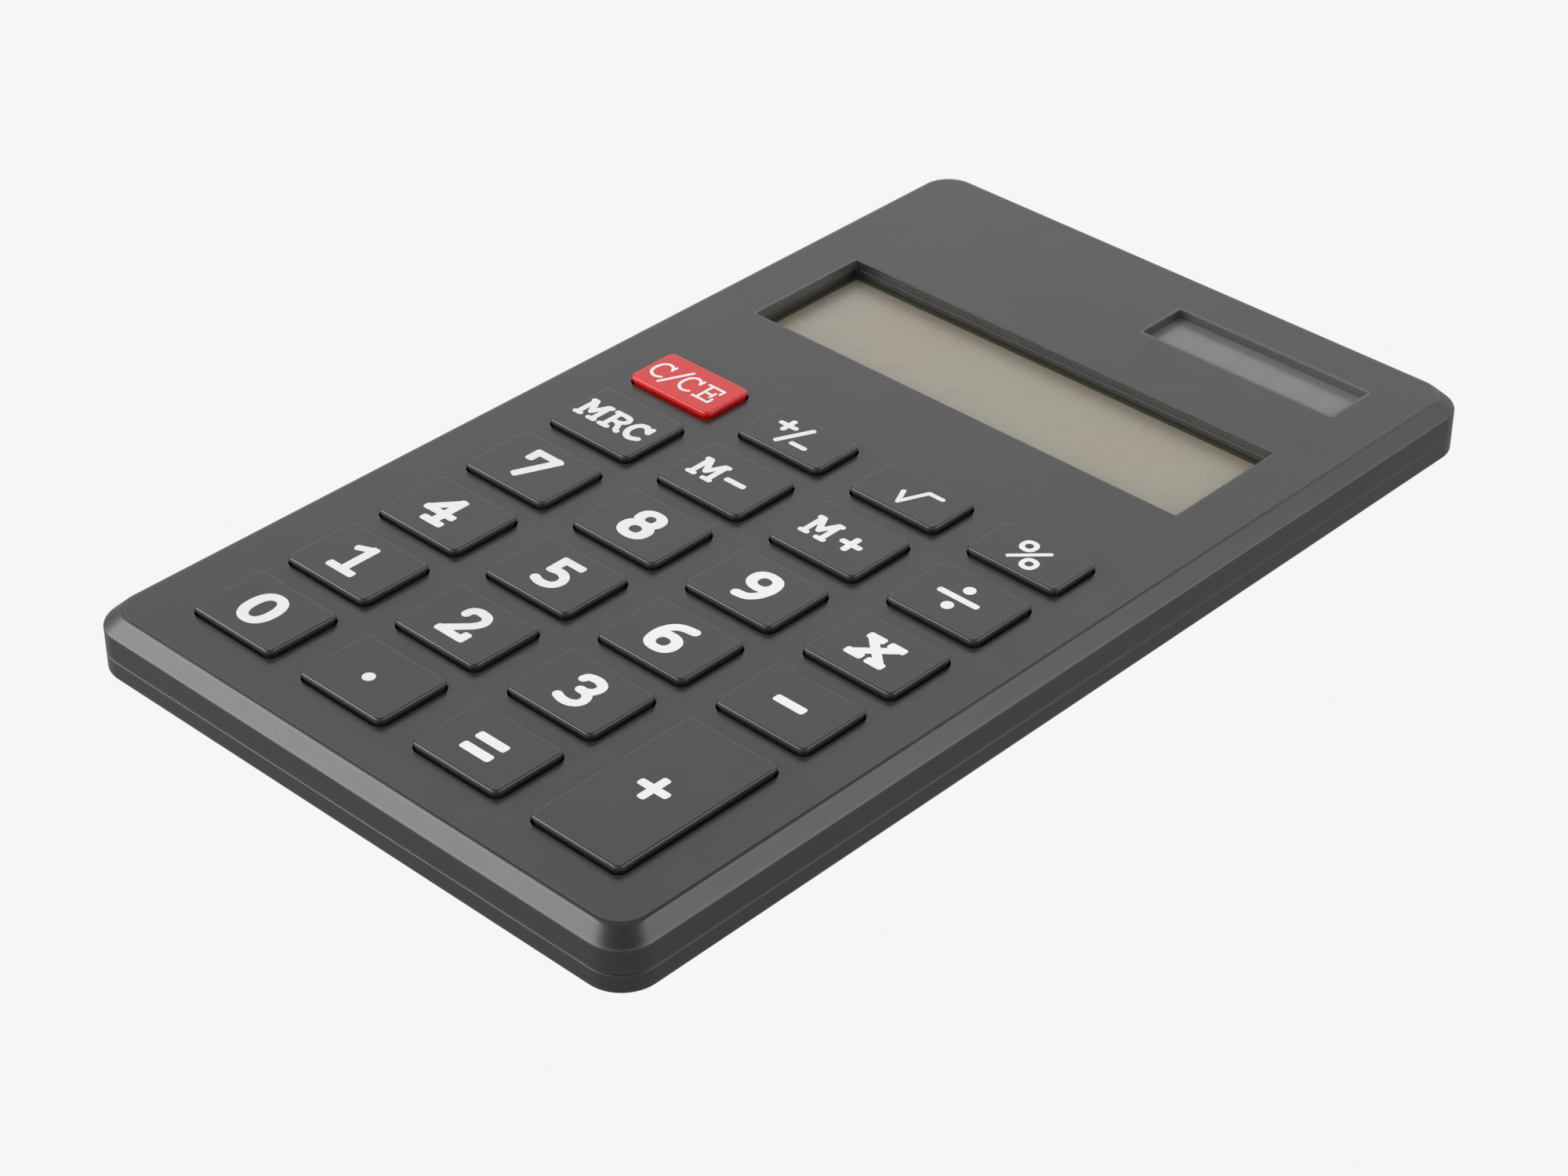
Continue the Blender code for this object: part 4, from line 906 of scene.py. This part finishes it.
def buildSolarCell():
    low, high, overlap = solar["foot"], solar["face"], solar["overlap"]
    plate = roundedProfile([(4.0, low, 0), (0, low, 0.05), (0, high, 0.05), (1.0, high, 0)], 3)
    bm = bmesh.new()
    addSolid(bm, plate, lambda inset: roundedLoop(
        solar["openingX"] / 2 + overlap - inset, solar["openingY"] / 2 + overlap - inset, 0.3, 4,
        solar["middle"]))
    makePiece("solarPanel", bm, [solarSilicon], "case", ["solar_cell"])


buildDisplay()
buildSolarCell()
print("display and solar panel built")


screwLook = {
    "headBottom": 0.8,
    "headRadius": 1.9,
    "shankRadius": 1.0,
    "threadPitch": 0.6,
    "crossArm": 1.05,
    "crossWidth": 0.42,
    "crossDepth": 0.75,
}


# A pan head with a cross recess, facing down, on a threaded shank.
def buildScrew(name, node, middle, headHeight, shankTop):
    bm = bmesh.new()
    headBottom, headRadius, shankRadius = (
        screwLook[key] for key in ("headBottom", "headRadius", "shankRadius"))
    seat = headBottom + headHeight
    profile = roundedProfile([
        (headRadius * 0.72, headBottom, 0), (headRadius, headBottom, headRadius * 0.3),
        (headRadius, seat, 0.05), (shankRadius, seat, 0)], 5)
    turns = int((shankTop - seat - shankRadius) / screwLook["threadPitch"])
    for turn in range(turns):
        low = seat + turn * screwLook["threadPitch"]
        profile += [(shankRadius * 0.72, low + 0.3 * screwLook["threadPitch"], 0),
                    (shankRadius, low + 0.8 * screwLook["threadPitch"], 0)]
    profile += [(shankRadius * 0.3, shankTop, 0)]
    first, last = loftProfile(bm, profile, lambda r: circleLoop(r, 32, middle))
    bm.faces.new(last)
    arm, half = screwLook["crossArm"], screwLook["crossWidth"] / 2
    cross = []
    for quarter in range(4):
        turned = Matrix.Rotation(math.radians(90 * quarter + 20), 2)
        for corner in ((arm, -half), (arm, half), (half, half)):
            cross.append(turned @ Vector(corner))
    mouth = addRing(bm, [(middle[0] + p.x, middle[1] + p.y) for p in cross], headBottom)
    deep = addRing(bm, [(middle[0] + 0.6 * p.x, middle[1] + 0.6 * p.y) for p in cross],
                   headBottom + min(screwLook["crossDepth"], headHeight * 0.8))
    joinRings(bm, [mouth, deep])
    bm.faces.new(deep)
    fillFlat(bm, first, [mouth])
    # the recess mouth isn't convex, so triangles of the fill that cover it are cleared
    for face in [f for f in bm.faces if len(f.verts) == 3 and all(v in mouth for v in f.verts)]:
        bm.faces.remove(face)
    makePiece(name, bm, [zincSteel], "case", [node], 40)


# A rubber disc with a shallow dish in its middle.
def buildFoot(name, node, middle):
    radius, dish, high = under["footRadius"], under["footDish"], under["footHeight"]
    skin = roundedProfile([
        (0.3, dish, 0), (2.2, dish, 0.1), (2.35, 0, 0.1), (radius, 0, 0.22), (radius, high, 0.1),
        (0.3, high, 0)], 4)
    bm = bmesh.new()
    addSolid(bm, skin, lambda across: circleLoop(across, 56, middle))
    makePiece(name, bm, [footRubber], "case", [node])


coverLook = {
    "grooves": 5,
    "firstGroove": -9.5,  # from the cover's middle
    "groovePitch": 1.9,
    "grooveLength": 9.0,
    "grooveWidth": 0.9,
    "grooveDepth": 0.4,
}


def buildBatteryCover():
    bm = bmesh.new()
    middle = under["coverMiddle"]
    plate = roundedProfile([(0.45, 0.6, 0), (0, 0.6, 0.22), (0, 2.0, 0.1), (0.45, 2.0, 0)], 4)
    outside, inside = loftProfile(bm, plate, lambda inset: roundedLoop(
        under["coverX"] / 2 - inset, under["coverY"] / 2 - inset, 1.5, 8, middle))
    bore = roundedProfile([
        (2.32, 0.6, 0), (2.1, 0.6, 0.12), (2.1, 1.6, 0), (1.2, 1.6, 0), (1.2, 2.0, 0)], 4)
    first, last = loftProfile(bm, bore, lambda r: circleLoop(r, 32, under["coverScrew"]))
    holes = [first]
    groove = roundedProfile([
        (-0.2, 0.6, 0), (0, 0.6, 0.08), (0, 0.6 + coverLook["grooveDepth"], 0)], 3)
    wide, long = coverLook["grooveWidth"] / 2, coverLook["grooveLength"] / 2
    for number in range(coverLook["grooves"]):
        x = middle[0] + coverLook["firstGroove"] + number * coverLook["groovePitch"]
        holes.append(addHollow(bm, groove, lambda inset: roundedLoop(
            wide - inset, long - inset, wide - 0.02 - min(inset, 0), 5, (x, middle[1]))))
    fillFlat(bm, outside, holes)
    fillFlat(bm, inside, [last])
    makePiece("batteryCover", bm, [casePlastic], "case", ["battery_cover"])


screwEnds = {-74.5: "front", 18.2: "middle", 74.5: "rear"}
for screwX, screwY in case["screws"]:
    place = f"{screwEnds[screwY]}_{'left' if screwX < 0 else 'right'}"
    buildScrew(f"caseScrew_{place}", f"case_screw_{place}", (screwX, screwY), 1.2, 6.6)
buildScrew("batteryCoverScrew", "battery_cover_screw", under["coverScrew"], 0.6, 4.0)
for footX, side in ((-under["foot"][0], "left"), (under["foot"][0], "right")):
    for footY, end in ((-under["foot"][1], "front"), (under["foot"][1], "rear")):
        buildFoot(f"foot_{end}_{side}_pad", f"foot_{end}_{side}", (footX, footY))
buildBatteryCover()
print("underside built")


# The rubber mat is a sheet and a dome under each key. A real dome gives way as its key goes down;
# here each is built at rest.
mat = {
    "low": 4.6,
    "top": 5.1,
    "domeTop": 5.9,
    "domeFoot": 3.4,  # radius
    "domeShoulder": 2.5,
    "domeSkin": 0.4,
    "pressed": 0.28,  # share of a dome's height that is left under a key that is fully down
    "postHole": 1.9,
}


def buildKeypadMat():
    low, high = (Vector(corner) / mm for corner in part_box("keypad_mat"))
    centre, half = (low + high) / 2, (high - low) / 2
    bm = bmesh.new()
    slab = roundedProfile([
        (0.6, mat["low"], 0), (0, mat["low"], 0.15), (0, mat["top"], 0.15), (0.6, mat["top"], 0)], 3)
    bottom, top = loftProfile(bm, slab, lambda inset: roundedLoop(
        half.x - inset, half.y - inset, 1.5, 6, (centre.x, centre.y)))
    holes = [(place, mat["domeFoot"] - mat["domeSkin"]) for _, place, _, _ in keyPlaces()]
    holes += [(place, mat["postHole"]) for place in case["posts"]]
    lower, upper = [], []
    for place, radius in holes:
        wall = [(radius, mat["low"], 0), (radius, mat["top"], 0)]
        first, last = loftProfile(bm, wall, lambda r: circleLoop(r, 28, place))
        lower.append(first)
        upper.append(last)
    fillFlat(bm, bottom, lower)
    fillFlat(bm, top, upper)
    makePiece("keypadMatSheet", bm, [siliconeRubber], "case", ["keypad_mat"])
    foot, shoulder, skin, crown = (
        mat[key] for key in ("domeFoot", "domeShoulder", "domeSkin", "domeTop"))
    for name, place, _, _ in keyPlaces():
        bm = bmesh.new()
        shell = roundedProfile([
            (foot - skin, mat["top"] + 0.01, 0), (foot, mat["top"] + 0.01, 0.1),
            (shoulder, crown - 0.08, 0.15), (1.7, crown - 0.08, 0.05), (1.6, crown, 0.05),
            (0.3, crown, 0)], 4)
        inside = [(0.3, crown - skin), (shoulder - skin, crown - skin - 0.08)]
        first, last = loftProfile(bm, shell, lambda r: circleLoop(r, 28, place))
        inner = [addRing(bm, circleLoop(r, 28, place), height) for r, height in inside]
        joinRings(bm, [inner[0], inner[1], first])
        bm.faces.new(last)
        bm.faces.new(inner[0])
        dome = makePiece(f"dome_{name}", bm, [siliconeRubber], "case", ["keypad_mat"])
        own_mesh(dome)


buildKeypadMat()
print("keypad mat built")


# Inside the case the frame's own solids stay, and only their materials change.
insideMaterials = {
    "main_board": boardMask, "processor_chip": chipEpoxy, "capacitor": capacitorResin,
    "resonator": zincSteel, "lcd_tray": framePlastic, "lcd_ribbon": ribbonAmber,
    "solar_wire_plus": redWire, "solar_wire_minus": blackWire,
    "battery_wire_plus": redWire, "battery_wire_minus": blackWire,
    "battery_cell": nickelPlate, "battery_contact_plus": nickelPlate,
    "battery_contact_minus": nickelPlate,
}
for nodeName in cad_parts:
    if nodeName.startswith("board_screw"):
        insideMaterials[nodeName] = zincSteel
for nodeName, material in insideMaterials.items():
    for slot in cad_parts[nodeName].material_slots:
        slot.material = material
print("inside pieces dressed:", len(insideMaterials))


studio = {
    "floor": "#f6f6f7",
    "floorSize": 6.0,  # metres
    "strength": 1.0,
    # brightness by height, from straight down (-1) to straight up (1): of the table ...
    "table": ((-0.9, 0.38), (-0.3, 0.39), (-0.1, 0.42), (0.1, 0.0)),
    # ... and of the walls and reflectors round it
    "heights": ((-0.1, 0.0), (0.06, 0.7), (0.26, 1.15), (0.5, 1.21), (0.67, 1.36), (0.79, 0.12),
                (1.0, 0.1)),
    # how much each side multiplies the second, by the angle from +X in degrees
    "sides": ((-180, 0.6), (-166, 1.6), (-150, 4.6), (-128, 4.2), (-90, 1.5), (-45, 0.4), (0, 1.0),
              (34, 2.8), (60, 0.85), (122, 0.95), (133, 1.0), (146, 0.95), (164, 0.6), (180, 0.6)),
}


# Matt paper, evenly lit.
def studioPaper(tree, place):
    fibre = addNode(tree, "TexNoise", {"Scale": 900.0, "Detail": 2.0}, {"Vector": place})
    tone = addNode(tree, "ValToRGB", {}, {"Fac": fibre})
    setRamp(tone, [(0.3, scaledColour(studio["floor"], 0.997)), (0.7, linearColour(studio["floor"]))])
    glow = addNode(tree, "Emission", {"Strength": 1.0}, {"Color": tone})
    # from underneath the paper isn't there, so the feet and the cover can be looked at
    below = addNode(tree, "NewGeometry").outputs["Backfacing"]
    clear = addNode(tree, "BsdfTransparent")
    paper = addNode(tree, "MixShader", {}, {
        0: below, 1: glow, 2: clear})
    return paper


def buildStage():
    bm = bmesh.new()
    bmesh.ops.create_grid(bm, x_segments=1, y_segments=1, size=studio["floorSize"] / 2)
    data = bpy.data.meshes.new("floor")
    bm.to_mesh(data)
    bm.free()
    data.materials.append(newMaterial("pale studio paper", studioPaper))
    floor = bpy.data.objects.new("floor", data)
    floor.location = (0, 0, -0.0002)
    bpy.context.scene.collection.objects.link(floor)
    # the world lights the calculator instead of the paper
    floor.visible_glossy = floor.visible_diffuse = floor.visible_shadow = False


# The walls and reflectors round a studio table: bright in a band above the horizon, dark overhead,
# and brightest at the front left, where the main softbox stands.
def buildWorld():
    world = bpy.data.worlds.new("soft studio")
    bpy.context.scene.world = world
    world.use_nodes = True
    tree = world.node_tree
    tree.nodes.clear()
    place = addNode(tree, "TexCoord").outputs["Generated"]
    apart = addNode(tree, "SeparateXYZ", {}, {"Vector": place})
    upward = addNode(tree, "MapRange", {"From Min": -1.0}, {"Value": apart.outputs["Z"]})
    height, table = (addNode(tree, "ValToRGB", {}, {"Fac": upward})
                     for _ in range(2))
    for ramp, levels in ((height, studio["heights"]), (table, studio["table"])):
        setRamp(ramp, [((z + 1) / 2, [level] * 3 + [1]) for z, level in levels])
    angle = addNode(tree, "Math", {"operation": "ARCTAN2"}, {
        0: apart.outputs["Y"], 1: apart.outputs["X"]})
    around = addNode(tree, "MapRange", {"From Min": -math.pi, "From Max": math.pi}, {
        "Value": angle})
    sides = addNode(tree, "ValToRGB", {}, {"Fac": around})
    setRamp(sides, [((side + 180) / 360, [level] * 3 + [1]) for side, level in studio["sides"]])
    both = addNode(tree, "Mix", {"data_type": "RGBA", "blend_type": "MULTIPLY", 0: 1.0}, {
        6: height, 7: sides})
    whole = addNode(tree, "Mix", {"data_type": "RGBA", "blend_type": "ADD", 0: 1.0}, {
        6: both.outputs[2], 7: table})
    back = addNode(tree, "Background", {"Strength": studio["strength"]}, {
        "Color": whole.outputs[2]})
    addNode(tree, "OutputWorld", {}, {"Surface": back})


buildStage()
buildWorld()

view = {"place": (0.2721, -0.2910, 0.2680), "towards": (-0.56773, 0.59765, -0.56613), "lens": 85.0}
camera = bpy.data.cameras.new("camera")
camera.lens = view["lens"]
camera.sensor_width = 36.0
camera.clip_start = 0.01
cameraObject = bpy.data.objects.new("camera", camera)
cameraObject.location = view["place"]
cameraObject.rotation_euler = Vector(view["towards"]).to_track_quat("-Z", "Y").to_euler()
bpy.context.scene.collection.objects.link(cameraObject)
bpy.context.scene.camera = cameraObject
bpy.context.scene.view_settings.view_transform = "Standard"
print("stage, light and camera ready")
